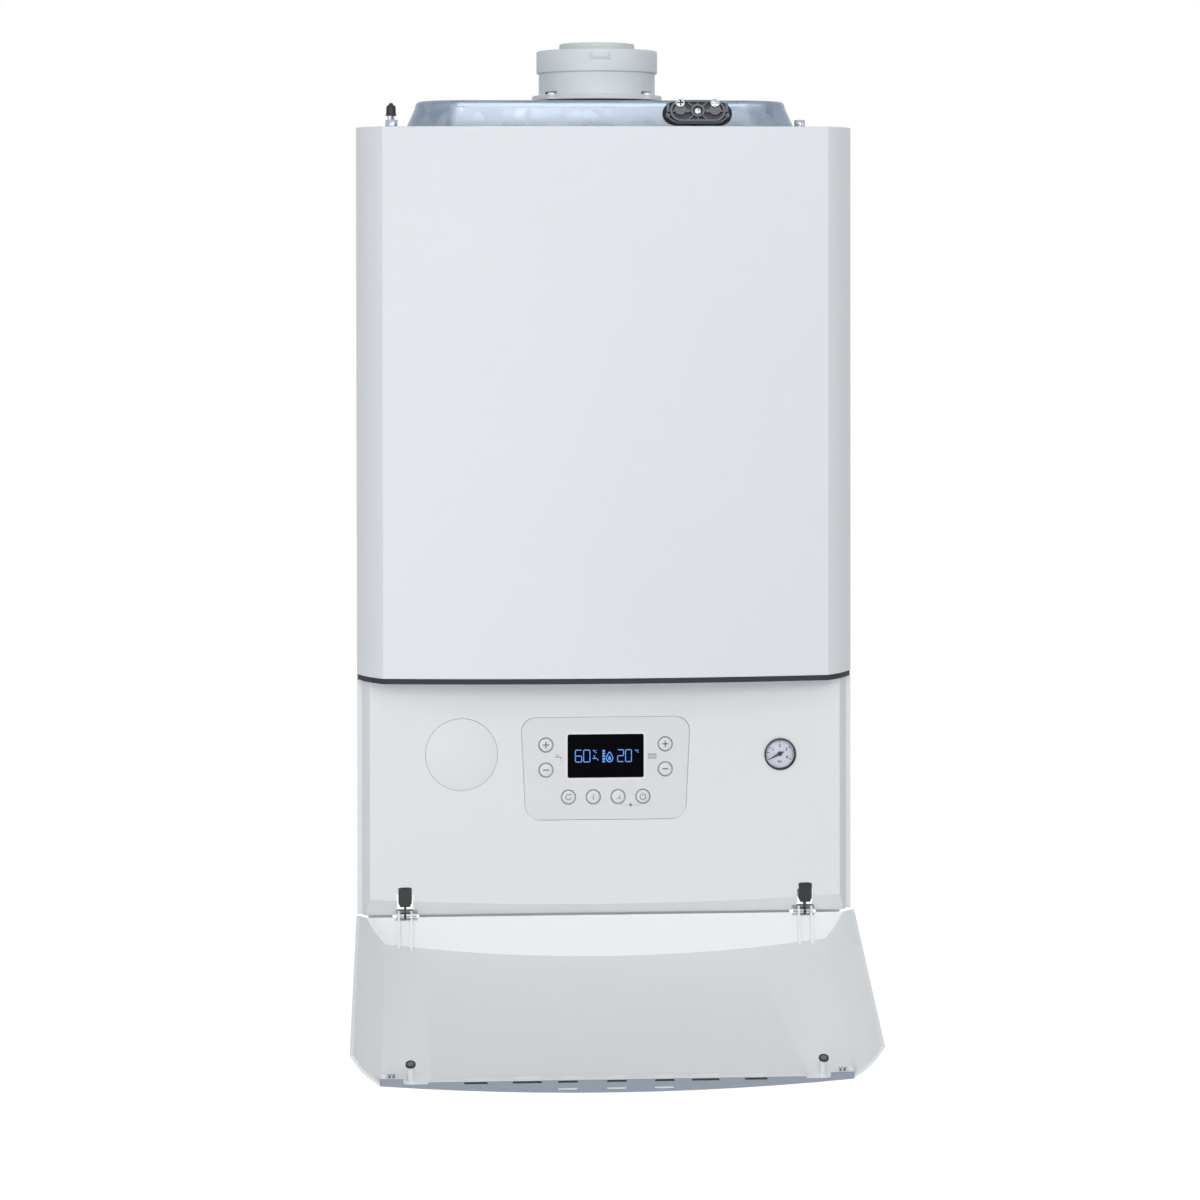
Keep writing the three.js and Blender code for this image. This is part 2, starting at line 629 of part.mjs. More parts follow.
const mirrored = (half) => [...half, ...half.map(([x, y]) => [-x, y]).reverse()];
const steps = (count) => Array.from({ length: count + 1 }, (_, i) => i / count);

/** The casing's plan, set in by `inset`, from the bowed front back to backY. */
function caseOutline(inset, backY, cornerSteps = 5, bowSteps = 6) {
  const side = HALF - inset;
  const crease = creaseAt(inset);
  const half = [[side, backY]];
  for (const t of steps(cornerSteps)) {
    const x = side + (crease - side) * t;
    half.push([x, cornerAt(x, inset)]);
  }
  for (const t of steps(bowSteps).slice(1, -1)) {
    const x = crease * (1 - t);
    half.push([x, bowAt(x, inset)]);
  }
  const middle = [[0, bowAt(0, inset)]];
  return outlineOf([...half, ...middle, ...half.map(([x, y]) => [-x, y]).reverse()]);
}

/** The fascia's plan: a flat face, corners inside the door's, and a ledge for its rim. */
function fasciaOutline(inset, backY) {
  const face = depth(FASCIA_DEPTH) + inset;
  const ledge = depth(REBATE_DEPTH) + inset;
  const inside = DOOR_WALL + DOOR_CLEAR + inset;
  const half = [[HALF - inset, backY], [HALF - inset, ledge]];
  for (const t of steps(4)) {
    const y = ledge + (face - ledge) * t;
    half.push([cornerReach(y, inside), y]);
  }
  return outlineOf(mirrored(half));
}

// ------------------------------------------------------------------ casing
function frontCover() {
  const bottom = level(COVER_HEIGHT);
  const outer = raised(caseOutline(0, depth(SEAM_DEPTH)), bottom, COVER_HEIGHT);
  const inner = raised(caseOutline(SHEET, depth(SEAM_DEPTH) + 1), bottom + SHEET, COVER_HEIGHT - 2 * SHEET);
  const mouth = raised(caseOutline(COVER_FLANGE, depth(SEAM_DEPTH) + 1), bottom - 1, COVER_HEIGHT + 2);
  return cut(outer, inner, mouth);
}

function accentStrip() {
  const bottom = level(STRIP_TOP_DROP + STRIP_HEIGHT);
  const outer = raised(caseOutline(STRIP_INSET, depth(SEAM_DEPTH)), bottom, STRIP_HEIGHT);
  const mouth = raised(caseOutline(STRIP_WIDTH, depth(SEAM_DEPTH) + 1), bottom - 1, STRIP_HEIGHT + 2);
  return cut(outer, mouth);
}

function sidePanel(side) {
  const front = depth(SEAM_DEPTH) + 2 * GAP;
  const rear = -SHEET - 2 * GAP; // just ahead of the rear frame's plate
  const out = HALF;
  const skin = HALF - SHEET;
  const lip = HALF - SIDE_FLANGE;
  const plan = [
    [out, front], [out, 0], [skin, 0], [skin, rear], [lip, rear], [lip, rear - SHEET],
    [skin, rear - SHEET], [skin, front + SHEET], [lip, front + SHEET], [lip, front],
  ];
  return raised(outlineOf(plan.map(([x, y]) => [x * side, y])), level(CASE_HEIGHT), CASE_HEIGHT);
}

const PANEL_REAR = -2 * SHEET - 3 * GAP; // ahead of the side panels' rear flanges
const FLANGE_BACK = depth(SEAM_DEPTH) + SHEET + 3 * GAP; // behind their front flanges

function rearFrame() {
  const bottom = level(CASE_HEIGHT - 2);
  const top = level(2 * SHEET + 2 * GAP);
  const plate = box(-INNER_HALF, INNER_HALF, -SHEET, 0, bottom, top);
  const fold = HALF - SIDE_FLANGE - 1;
  const topFold = box(-fold, fold, -SIDE_FLANGE, 0, top - SHEET, top);
  const lowFold = box(-fold, fold, -SIDE_FLANGE, 0, bottom, bottom + SHEET);
  const slots = [-1, 1].map((side) =>
    forward(stadium(HANG_SLOT_WIDTH, HANG_SLOT_HEIGHT, side * (HALF - HANG_SLOT_INSET)), 1, SHEET + 2, 4));
  const holes = [-1, 1].map((side) => rodY(FIXING_HOLE_RADIUS, -SHEET - 1, 1,
    side * (HALF - FIXING_HOLE_INSET), level(aboveBottom(FIXING_HOLE_HEIGHT))));
  return cut(join(plate, topFold, lowFold), ...slots, ...holes);
}

function topPanel() {
  const top = level(SHEET + GAP);
  const front = depth(COVER_FLANGE + 2 * GAP);
  const inner = HALF - SIDE_FLANGE - GAP;
  const wide = HALF - COVER_FLANGE - 2 * GAP;
  const plan = outlineOf([
    [-INNER_HALF, PANEL_REAR], [-INNER_HALF, FLANGE_BACK], [-inner, FLANGE_BACK],
    [-inner, depth(SEAM_DEPTH)], [-wide, depth(CORNER_DEPTH)], [-creaseHalf + COVER_FLANGE, front],
    [creaseHalf - COVER_FLANGE, front], [wide, depth(CORNER_DEPTH)], [inner, depth(SEAM_DEPTH)],
    [inner, FLANGE_BACK], [INNER_HALF, FLANGE_BACK], [INNER_HALF, PANEL_REAR],
  ]);
  const sheet = raised(plan, top - SHEET, SHEET);
  const clips = [-1, 1].map((side) => {
    const x = side * (HOOD_BASE_WIDTH / 2 + HOOD_FOOT + 1 + HOOD_CLIP_WIDTH / 2);
    return box(x - HOOD_CLIP_WIDTH / 2, x + HOOD_CLIP_WIDTH / 2, -FLUE_TO_WALL - 6, -FLUE_TO_WALL + 6,
      top - SHEET, TOP + HOOD_CLIP_HEIGHT);
  });
  const flueHole = rodZ(FLUE_OUTER_RADIUS, top - 5, top + 5, 0, -FLUE_TO_WALL, 24);
  const valveHole = rodZ(VALVE_TUBE + GAP, top - 5, top + 5, VALVE_X, vesselMiddle);
  return cut(join(sheet, ...clips), flueHole, valveHole);
}

const vesselBack = -SHEET - 2 * GAP;
const vesselMiddle = vesselBack - VESSEL_THICKNESS / 2;

function chamberFloor() {
  const z = level(FLOOR_DROP);
  const sheet = box(-INNER_HALF, INNER_HALF, FLANGE_BACK, PANEL_REAR, z - SHEET, z);
  const holes = [
    [PIPE_RADIUS + 1, PUMP_X, -PIPE_ROW], [PIPE_RADIUS + 1, -PUMP_X, -PIPE_ROW],
    [PIPE_RADIUS + 1, TRAP_X, -TRAP_ROW], [GAS_PIPE_RADIUS + 1, GAS_VALVE_X, -GAS_ROW],
  ].map(([r, x, y]) => rodZ(r, z - 5, z + 5, x, y));
  return cut(sheet, ...holes);
}

const tailRow = [
  ['flow', -2, LARGE_TAIL], ['hot', -1, SMALL_TAIL], ['gas', 0, SMALL_TAIL],
  ['cold', 1, SMALL_TAIL], ['return', 2, LARGE_TAIL],
];

function connectionBracket() {
  const z = level(BRACKET_PLATE_DROP);
  const front = -PIPE_ROW - BRACKET_REACH;
  const sheet = box(-INNER_HALF, INNER_HALF, front, PANEL_REAR, z - 2 * SHEET, z);
  const lip = box(-INNER_HALF, INNER_HALF, front, front + 2 * SHEET, z - BRACKET_LIP, z);
  const holes = tailRow.map(([, place, r]) => rodZ(r + 2 * GAP, z - 5, z + 5, place * TAIL_PITCH, -PIPE_ROW));
  return cut(join(sheet, lip), ...holes);
}

// ------------------------------------------------------------------ fascia and what it holds
/** What lies ahead of the fascia's sloped lip, whose upper edge sags in the middle. */
function lipCutter(back, rise) {
  const rings = steps(6).map((t) => {
    const x = (HALF + 4) * (2 * t - 1);
    const startDrop = LIP_DROP - LIP_RISE * (x / HALF) ** 2;
    const start = new THREE.Vector2(depth(FASCIA_DEPTH) + back, level(startDrop) + rise);
    const end = new THREE.Vector2(depth(LIP_BACK_DEPTH) + back, level(CASE_HEIGHT) + rise);
    const past = end.clone().add(end.clone().sub(start).setLength(8));
    const ahead = depth(-CORNER_DEPTH);
    return [[ahead, start.y], [start.x, start.y], [past.x, past.y], [ahead, past.y]]
      .map(([y, z]) => new THREE.Vector3(x, y, z));
  });
  return loft(rings);
}

function plateOutline(grow) {
  const top = level(PLATE_DROP) + grow;
  const bottom = level(PLATE_DROP + PLATE_HEIGHT) - grow;
  const wide = PLATE_TOP_WIDTH / 2 + grow;
  const narrow = PLATE_BOTTOM_WIDTH / 2 + grow;
  const corners = [[-narrow, bottom], [narrow, bottom], [wide, top], [-wide, top]];
  return roundedPolygon(corners, PLATE_CORNER + grow);
}

function fasciaPanel() {
  const bottom = level(CASE_HEIGHT);
  const height = CASE_HEIGHT - FASCIA_TOP_DROP;
  const face = depth(FASCIA_DEPTH);
  const outer = raised(fasciaOutline(0, depth(SEAM_DEPTH)), bottom, height).subtract(lipCutter(0, 0));
  const inner = raised(fasciaOutline(FASCIA_WALL, depth(SEAM_DEPTH) + 1), bottom + FASCIA_WALL,
    height - 2 * FASCIA_WALL).subtract(lipCutter(0.75 * FASCIA_WALL, 0.65 * FASCIA_WALL));
  const behind = face + FASCIA_WALL + 1;
  const tools = [
    rodY(BLANK_RADIUS + GAP, face - 1, face + BLANK_REBATE, BLANK_X, level(BLANK_DROP), 28),
    rodY(BLANK_RADIUS - BLANK_SEAT, face - 1, behind, BLANK_X, level(BLANK_DROP), 28),
    forward(plateOutline(GAP), face + PLATE_RECESS + PLATE_THICKNESS + GAP, 5),
    forward(plateOutline(-PLATE_LEDGE), behind, 5),
    rodY(GAUGE_BODY_RADIUS + GAP, face - 1, behind, GAUGE_X, level(GAUGE_DROP), 20),
  ];
  for (const side of [-1, 1]) {
    const x = side * HINGE_X;
    const narrow = BRACKET_WIDTH / 2 + GAP;
    const wide = EAR_SPACING / 2 + EAR_THICKNESS / 2 + 2 * GAP;
    const slotTop = level(BRACKET_DROP) + GAP;
    const slotBack = depth(PIVOT_DEPTH) + EAR_RADIUS + 4;
    tools.push(box(x - narrow, x + narrow, face - 1, behind, slotTop - SLOT_SHOULDER - 1, slotTop));
    tools.push(box(x - wide, x + wide, face - 1, slotBack, bottom - 1, slotTop - SLOT_SHOULDER));
    const reach = PIN_LENGTH / 2 + 1;
    const pinX = x + side * PIN_OFFSET;
    tools.push(rodX(EAR_RADIUS + GAP, pinX - reach, pinX + reach, PIVOT.x, PIVOT.y));
  }
  return cut(outer.subtract(inner), ...tools);
}

function blankCover() {
  const seat = depth(FASCIA_DEPTH) + BLANK_REBATE - GAP;
  const edge = 0.6;
  return spunForward([
    [0, 0], [BLANK_RADIUS, 0], [BLANK_RADIUS, BLANK_THICKNESS - edge],
    [BLANK_RADIUS - edge, BLANK_THICKNESS], [0, BLANK_THICKNESS],
  ], BLANK_X, seat, level(BLANK_DROP), 28);
}

const buttons = [
  ['button_water_plus', -SIDE_BUTTON_X, PLUS_DROP], ['button_water_minus', -SIDE_BUTTON_X, MINUS_DROP],
  ['button_heating_plus', SIDE_BUTTON_X, PLUS_DROP], ['button_heating_minus', SIDE_BUTTON_X, MINUS_DROP],
  ...['button_row_1', 'button_row_2', 'button_row_3', 'button_power'].map((name, i) =>
    [name, (i - 1.5) * ROW_BUTTON_PITCH, ROW_BUTTON_DROP]),
];

const plateFront = depth(FASCIA_DEPTH + PLATE_RECESS);
const plateBack = plateFront + PLATE_THICKNESS;
const boardFront = depth(BOARD_DEPTH);

function controlPlate() {
  const plate = forward(plateOutline(0), plateBack, PLATE_THICKNESS, 5);
  const window = displayOutline(GAP);
  const holes = buttons.map(([, x, drop]) =>
    rodY(BUTTON_HOLE, plateFront - 1, plateBack + 1, x, level(drop)));
  return cut(plate, forward(window, plateBack + 1, PLATE_THICKNESS + 2, 3), ...holes);
}

const displayOutline = (grow) => roundedRect(DISPLAY_WIDTH + 2 * grow, DISPLAY_HEIGHT + 2 * grow, 1.2 + grow,
  0, level(DISPLAY_DROP + DISPLAY_HEIGHT / 2));

const displayWindow = () => forward(displayOutline(0), plateFront + DISPLAY_THICKNESS, DISPLAY_THICKNESS, 3);

function pushButton(x, drop) {
  const crown = plateFront + 0.1;
  const flangeFront = plateBack + GAP;
  const flangeBack = flangeFront + BUTTON_FLANGE_THICKNESS;
  const stemBack = boardFront - BUTTON_TRAVEL - GAP;
  return spunForward([
    [0, 0], [BUTTON_STEM, 0], [BUTTON_STEM, stemBack - flangeBack],
    [BUTTON_FLANGE, stemBack - flangeBack], [BUTTON_FLANGE, stemBack - flangeFront],
    [BUTTON_RADIUS, stemBack - flangeFront], [BUTTON_RADIUS, stemBack - crown - 0.4],
    [BUTTON_RADIUS - 0.5, stemBack - crown], [0, stemBack - crown],
  ], x, stemBack, level(drop), sidesOf(BUTTON_RADIUS));
}

function controlBox() {
  const rim = depth(FASCIA_DEPTH + FASCIA_WALL) + GAP;
  const back = depth(CONTROL_BOX_BACK);
  const low = level(CONTROL_BOX_BOTTOM);
  const high = level(CONTROL_BOX_TOP);
  const outer = box(CONTROL_BOX_LEFT, CONTROL_BOX_RIGHT, rim, back, low, high);
  const inner = box(CONTROL_BOX_LEFT + CONTROL_WALL, CONTROL_BOX_RIGHT - CONTROL_WALL, rim - 1,
    back - CONTROL_WALL, low + CONTROL_WALL, high - CONTROL_WALL);
  return outer.subtract(inner);
}

function controlBoard() {
  const middle = level(PLATE_DROP + PLATE_HEIGHT / 2);
  const board = forward(roundedRect(BOARD_WIDTH, BOARD_HEIGHT, 3, 0, middle), boardFront + BOARD_THICKNESS,
    BOARD_THICKNESS, 3);
  const reach = depth(CONTROL_BOX_BACK) - CONTROL_WALL - GAP;
  const standoffs = [[-1, -1], [-1, 1], [1, -1], [1, 1]].map(([sx, sz]) =>
    rodY(STANDOFF_RADIUS, boardFront + BOARD_THICKNESS / 2, reach,
      sx * (BOARD_WIDTH / 2 - 6), middle + sz * (BOARD_HEIGHT / 2 - 6)));
  const module = box(-DISPLAY_WIDTH / 2, DISPLAY_WIDTH / 2, plateFront + DISPLAY_THICKNESS + GAP,
    boardFront + BOARD_THICKNESS / 2, level(DISPLAY_DROP + DISPLAY_HEIGHT), level(DISPLAY_DROP));
  return join(board, module, ...standoffs);
}

// ------------------------------------------------------------------ pressure gauge
const gaugeRim = depth(FASCIA_DEPTH) - GAUGE_PROUD;
const gaugeZ = level(GAUGE_DROP);

function gaugeCase() {
  const back = gaugeRim + GAUGE_LENGTH;
  const bore = GAUGE_BODY_RADIUS - GAUGE_WALL;
  const seat = GAUGE_LENGTH - GAUGE_PROUD + GAP;
  const seatForDial = GAUGE_LENGTH - GAUGE_DIAL_DEPTH - 1.4;
  return spunForward([
    [0, 0], [GAUGE_BODY_RADIUS, 0], [GAUGE_BODY_RADIUS, seat], [GAUGE_RADIUS, seat],
    [GAUGE_RADIUS, GAUGE_LENGTH - 0.6], [GAUGE_RADIUS - 0.6, GAUGE_LENGTH],
    [bore, GAUGE_LENGTH], [bore, seatForDial], [0, seatForDial],
  ], GAUGE_X, back, gaugeZ, 20);
}

const dialBack = gaugeRim + GAUGE_DIAL_DEPTH + 1.4 - GAP;
const dialFront = gaugeRim + GAUGE_DIAL_DEPTH + GAP;

function gaugeDial() {
  const radius = GAUGE_BODY_RADIUS - GAUGE_WALL - GAP;
  return rodY(radius, dialFront, dialBack, GAUGE_X, gaugeZ, 20)
    .subtract(rodY(1.1, dialFront - 1, dialBack - 0.4, GAUGE_X, gaugeZ));
}

function gaugeNeedle() {
  const angle = THREE.MathUtils.degToRad(NEEDLE_REST);
  const blade = new THREE.Shape();
  blade.moveTo(NEEDLE_REACH, 0.12);
  blade.lineTo(-NEEDLE_TAIL, 0.55);
  blade.lineTo(-NEEDLE_TAIL, -0.55);
  blade.lineTo(NEEDLE_REACH, -0.12);
  blade.closePath();
  const thickness = 0.5;
  const front = dialFront - 0.6;
  const geometry = extruded(blade, thickness, 1).rotateX(Math.PI / 2).rotateY(-angle);
  const bladeBody = solid(geometry.translate(GAUGE_X, front, gaugeZ));
  const hub = rodY(0.8, front - 0.8, dialBack - 0.7, GAUGE_X, gaugeZ);
  const boss = rodY(1.5, front - 0.9, front, GAUGE_X, gaugeZ);
  return join(bladeBody, hub, boss);
}

function gaugeLens() {
  const radius = GAUGE_BODY_RADIUS - GAUGE_WALL - GAP;
  return rodY(radius, gaugeRim + 0.3, gaugeRim + 1.1, GAUGE_X, gaugeZ, 20);
}

// ------------------------------------------------------------------ door (drawn closed)
const returnLine = (d) => -RETURN_DROP - RETURN_SLOPE * d;
const returnRise = DOOR_WALL * Math.hypot(1, RETURN_SLOPE);
const doorFree = DOOR_TOP_DROP + TRIM_THICKNESS + GAP;
const aheadOfBow = -FRONT_BOW - 4;

/** The door's side view; `wall` in from its outer face, and open past its rim when wall > 0. */
function doorProfile(wall) {
  const free = wall > 0 ? -doorFree + 10 : -doorFree;
  const rise = wall > 0 ? returnRise : 0;
  const points = wall > 0
    ? [[aheadOfBow, free], [CORNER_DEPTH + 5, free], [CORNER_DEPTH + 5, returnLine(CORNER_DEPTH + 5) + rise],
      [aheadOfBow, returnLine(aheadOfBow) + rise]]
    : [[aheadOfBow, free], [CORNER_DEPTH, free], [CORNER_DEPTH, -DOOR_SIDE_DROP],
      [RETURN_DEPTH, returnLine(RETURN_DEPTH)], [aheadOfBow, returnLine(aheadOfBow)]];
  return outlineOf(points.map(([d, z]) => [depth(d), TOP + z]));
}

// Each slot's ends, as shares of the ledge's half width.
const slotSpans = [
  [-0.826, -0.697], [-0.566, -0.408], [-0.322, -0.215], [-0.06, 0.048], [0.198, 0.306], [0.397, 0.548],
  [0.683, 0.806],
].map(([a, b]) => [a * LEDGE_HALF, b * LEDGE_HALF]);
const windowSpans = [slotSpans[2], slotSpans[3], slotSpans[4]];

function doorTray() {
  const low = level(CASE_HEIGHT + 20);
  const height = CASE_HEIGHT + 20 - DOOR_TOP_DROP + 5;
  const outer = raised(caseOutline(0, depth(CORNER_DEPTH)), low, height)
    .intersect(across(doorProfile(0), -HALF - 1, CASE_WIDTH + 2));
  const inner = raised(caseOutline(DOOR_WALL, depth(CORNER_DEPTH + 4)), low, height)
    .intersect(across(doorProfile(DOOR_WALL), -HALF - 1, CASE_WIDTH + 2));
  const ledgeFoot = level(doorFree + LEDGE_HEIGHT);
  const ledge = across(outlineOf([
    [depth(LEDGE_DEPTH), level(doorFree)], [depth(aheadOfBow), level(doorFree)],
    [depth(aheadOfBow), ledgeFoot], [depth(-FRONT_BOW + DOOR_WALL), ledgeFoot],
    [depth(LEDGE_DEPTH), level(doorFree + 2)],
  ]), -LEDGE_HALF, 2 * LEDGE_HALF)
    .intersect(raised(caseOutline(DOOR_WALL / 2, depth(CORNER_DEPTH + 4)), low, height));
  const relief = [];
  const ears = [];
  const posts = [];
  const bores = [];
  for (const side of [-1, 1]) {
    const x = side * HINGE_X;
    const reach = PIN_LENGTH / 2 + 1;
    const pinX = x + side * PIN_OFFSET;
    relief.push(rodX(EAR_RADIUS + 2 * GAP, pinX - reach, pinX + reach, PIVOT.x, PIVOT.y));
    for (const ear of [-1, 1]) {
      const left = x + ear * EAR_SPACING / 2 - EAR_THICKNESS / 2;
      ears.push(hingeEar(left));
      bores.push(rodX(PIN_RADIUS + RUNNING, left - 1, left + EAR_THICKNESS + 1, PIVOT.x, PIVOT.y));
    }
    const wallAt = bowAt(CATCH_X, DOOR_WALL / 2);
    posts.push(rodY(CATCH_POST, wallAt, catchBack, side * CATCH_X, level(CATCH_DROP)));
  }
  const pocketFoot = level(doorFree + SLOT_POCKET);
  const pockets = slotSpans.map(([a, b]) =>
    box(a, b, depth(LEDGE_DEPTH - SLOT_NOTCH), depth(LEDGE_DEPTH) + 2, pocketFoot, level(doorFree) + 1));
  const shell = cut(outer, inner, ...relief);
  return cut(join(shell, ledge, ...posts, ...ears), ...bores, ...pockets);
}

/** One gusset of a hinge: a boss round the pin and a web down the door's inside. */
function hingeEar(left) {
  const [px, pz] = [PIVOT.x, PIVOT.y];
  const wall = DOOR_WALL / 2;
  const onReturn = (d) => TOP + returnLine(d) + returnRise / 2;
  const faceDepth = -0.8;
  const footDepth = RETURN_DEPTH - EAR_RADIUS - 0.4;
  const web = outlineOf([
    [px - EAR_RADIUS / 4, pz + 0.96 * EAR_RADIUS], [depth(faceDepth), level(EAR_TOP_DROP)],
    [depth(faceDepth), onReturn(faceDepth)], [depth(footDepth), onReturn(footDepth)],
    [px - 0.97 * EAR_RADIUS, pz - wall / 2],
  ]);
  return join(rodX(EAR_RADIUS, left, left + EAR_THICKNESS, px, pz), across(web, left, EAR_THICKNESS));
}

const catchFace = depth(FASCIA_DEPTH) - 2 * GAP;
const catchBack = catchFace - CATCH_THICKNESS - GAP;
const catchDisc = (side) => rodY(CATCH_RADIUS, catchBack + GAP, catchFace, side * CATCH_X, level(CATCH_DROP));

const hingePin = (side) => rodX(PIN_RADIUS, side * HINGE_X + side * PIN_OFFSET - PIN_LENGTH / 2,
  side * HINGE_X + side * PIN_OFFSET + PIN_LENGTH / 2, PIVOT.x, PIVOT.y);

function doorTrim() {
  const z = level(DOOR_TOP_DROP + TRIM_THICKNESS);
  const far = depth(aheadOfBow);
  const strip = raised(caseOutline(GAP, depth(CORNER_DEPTH + 4)), z, TRIM_THICKNESS);
  const inboard = TRIM_HALF - TAB_WIDTH - TAB_RELIEF;
  const keep = [
    box(-inboard, inboard, far, depth(TRIM_DEPTH), z, z + TRIM_THICKNESS),
    box(-TRIM_HALF, TRIM_HALF, far, depth(0.6), z, z + TRIM_THICKNESS),
    ...[-1, 1].map((side) => {
      const x = side * (TRIM_HALF - TAB_WIDTH / 2);
      return box(x - TAB_WIDTH / 2, x + TAB_WIDTH / 2, far, depth(TAB_DEPTH), z, z + TRIM_THICKNESS);
    }),
  ];
  const notches = slotSpans.map(([a, b]) =>
    box(a, b, depth(TRIM_DEPTH - SLOT_NOTCH), depth(TRIM_DEPTH) + 2, z - 1, z + TRIM_THICKNESS + 1));
  const windows = windowSpans.map(([a, b]) =>
    box(a, b, depth(-5.9), depth(-4.1), z - 1, z + TRIM_THICKNESS + 1));
  return cut(strip.intersect(join(...keep)), ...notches, ...windows);
}

/** The black bracket in the fascia's slot, with a blade that hooks round the pin. */
function hingeBracket(side) {
  const x = side * HINGE_X;
  const front = depth(FASCIA_DEPTH) + 2.4;
  const low = level(BRACKET_DROP + BRACKET_HEIGHT);
  const body = box(x - BRACKET_WIDTH / 2, x + BRACKET_WIDTH / 2, front, front + BRACKET_LENGTH,
    low, level(BRACKET_DROP));
  const [px, pz] = [PIVOT.x, PIVOT.y];
  const neck = across(outlineOf([
    [px - BLADE_RADIUS / 2, low + 1], [px + 2 * BLADE_RADIUS, low + 1],
    [px + BLADE_RADIUS, pz], [px - BLADE_RADIUS, pz],
  ]), x - BLADE_THICKNESS / 2, BLADE_THICKNESS);
  const knuckle = rodX(BLADE_RADIUS, x - BLADE_THICKNESS / 2, x + BLADE_THICKNESS / 2, px, pz);
  const bore = rodX(PIN_RADIUS + RUNNING, x - BLADE_THICKNESS, x + BLADE_THICKNESS, px, pz);
  return cut(join(body, neck, knuckle), bore);
}

// ------------------------------------------------------------------ top of the casing
const hoodBottom = level(SHEET);
const hoodTop = TOP + HOOD_HEIGHT;
const hoodMiddle = depth(HOOD_FRONT_DEPTH) + HOOD_BASE_LENGTH / 2;

const hoodRing = (grow, corner, z) =>
  planRing(HOOD_BASE_WIDTH + 2 * grow, HOOD_BASE_LENGTH + 2 * grow, corner, 0, hoodMiddle, z);

function hoodLoft(inset, bottom) {
  const ring = (taper, z) => hoodRing(-taper - inset, HOOD_CORNER - taper / 2 - inset, z);
  return loft([
    ring(0, bottom), ring(HOOD_TAPER, hoodTop - 5 - inset), ring(HOOD_TAPER + 1.2, hoodTop - 1.6 - inset),
    ring(HOOD_TAPER + 4, hoodTop - inset),
  ]);
}

function chamberHood() {
  const foot = loft([hoodBottom, hoodBottom + SHEET].map((z) =>
    hoodRing(HOOD_FOOT, HOOD_CORNER + HOOD_FOOT, z)));
  const hole = rodZ(FLUE_INNER_RADIUS + 12, hoodTop - 5, hoodTop + 5, 0, -FLUE_TO_WALL, 24);
  return cut(join(foot, hoodLoft(0, hoodBottom)), hoodLoft(SHEET, hoodBottom - 2), hole);
}

const flangeBottom = hoodTop + FLUE_GASKET_THICKNESS + 2 * GAP;
const flangeTop = flangeBottom + FLUE_FLANGE_THICKNESS;

const flueGasket = () => spun([
  [FLUE_INNER_RADIUS + 13, hoodTop + GAP], [FLUE_GASKET_RADIUS, hoodTop + GAP],
  [FLUE_GASKET_RADIUS, flangeBottom - GAP], [FLUE_INNER_RADIUS + 13, flangeBottom - GAP],
  [FLUE_INNER_RADIUS + 13, hoodTop + GAP],
], 0, -FLUE_TO_WALL, 24);

/** The outer 100 mm collar: flange, body, bell, and webs to a ring round the inner pipe. */
function flueAdapter() {
  const bellBottom = TOP + FLUE_BELL_BOTTOM;
  const bellTop = TOP + FLUE_BELL_TOP;
  const bore = FLUE_OUTER_RADIUS - FLUE_WALL;
  const bellBore = FLUE_BELL_RADIUS - FLUE_WALL;
  const collar = spun([
    [bore, flangeBottom], [FLUE_FLANGE_RADIUS, flangeBottom], [FLUE_FLANGE_RADIUS, flangeTop],
    [FLUE_OUTER_RADIUS, flangeTop], [FLUE_OUTER_RADIUS, bellBottom - 2], [FLUE_BELL_RADIUS, bellBottom],
    [FLUE_BELL_RADIUS, bellTop - 1], [FLUE_BELL_RADIUS - 0.8, bellTop], [bellBore, bellTop],
    [bellBore, bellBottom], [bore, bellBottom - 2], [bore, flangeBottom],
  ], 0, -FLUE_TO_WALL, 24);
  const lugs = [45, 135, 225, 315].map((degrees) => {
    const angle = THREE.MathUtils.degToRad(degrees);
    const x = Math.cos(angle) * (FLUE_FLANGE_RADIUS + 1);
    const y = -FLUE_TO_WALL + Math.sin(angle) * (FLUE_FLANGE_RADIUS + 1);
    return rodZ(FLUE_LUG_RADIUS, flangeBottom, flangeTop, x, y);
  });
  const tab = box(-FLUE_TAB_WIDTH / 2, FLUE_TAB_WIDTH / 2, -FLUE_TO_WALL - FLUE_BELL_RADIUS - 1.2,
    -FLUE_TO_WALL - bellBore - 0.5, bellTop - 3 - FLUE_TAB_HEIGHT, bellTop - 3);
  const ringInner = FLUE_INNER_RADIUS + GAP;
  const ring = spun([
    [ringInner, flangeBottom], [ringInner + FLUE_WEB_RING, flangeBottom],
    [ringInner + FLUE_WEB_RING, flangeBottom + FLUE_WEB_HEIGHT], [ringInner, flangeBottom + FLUE_WEB_HEIGHT],
    [ringInner, flangeBottom],
  ], 0, -FLUE_TO_WALL, 24);
  const webs = [0, 120, 240].map((degrees) => {
    const web = new THREE.BoxGeometry(bore - ringInner, 2, FLUE_WEB_HEIGHT)
      .translate((bore + ringInner) / 2 + 0.8, 0, flangeBottom + FLUE_WEB_HEIGHT / 2)
      .rotateZ(THREE.MathUtils.degToRad(degrees + 90));
    return solid(web.translate(0, -FLUE_TO_WALL, 0));
  });
  return join(collar, tab, ring, ...lugs, ...webs);
}

/** A length of the 60 mm exhaust pipe. */
function exhaustPipe(bottom, top) {
  const outer = FLUE_INNER_RADIUS;
  const bore = outer - FLUE_INNER_WALL;
  return spun([
    [bore, bottom], [outer, bottom], [outer, top], [bore, top], [bore, bottom],
  ], 0, -FLUE_TO_WALL, 24);
}

const flueInnerPipe = () => exhaustPipe(TOP + DUCT_TOP + GAP, TOP + FLUE_INNER_TOP);
const flueDuct = () => exhaustPipe(level(EXCHANGER_COLLAR_DROP) + GAP, TOP + DUCT_TOP);

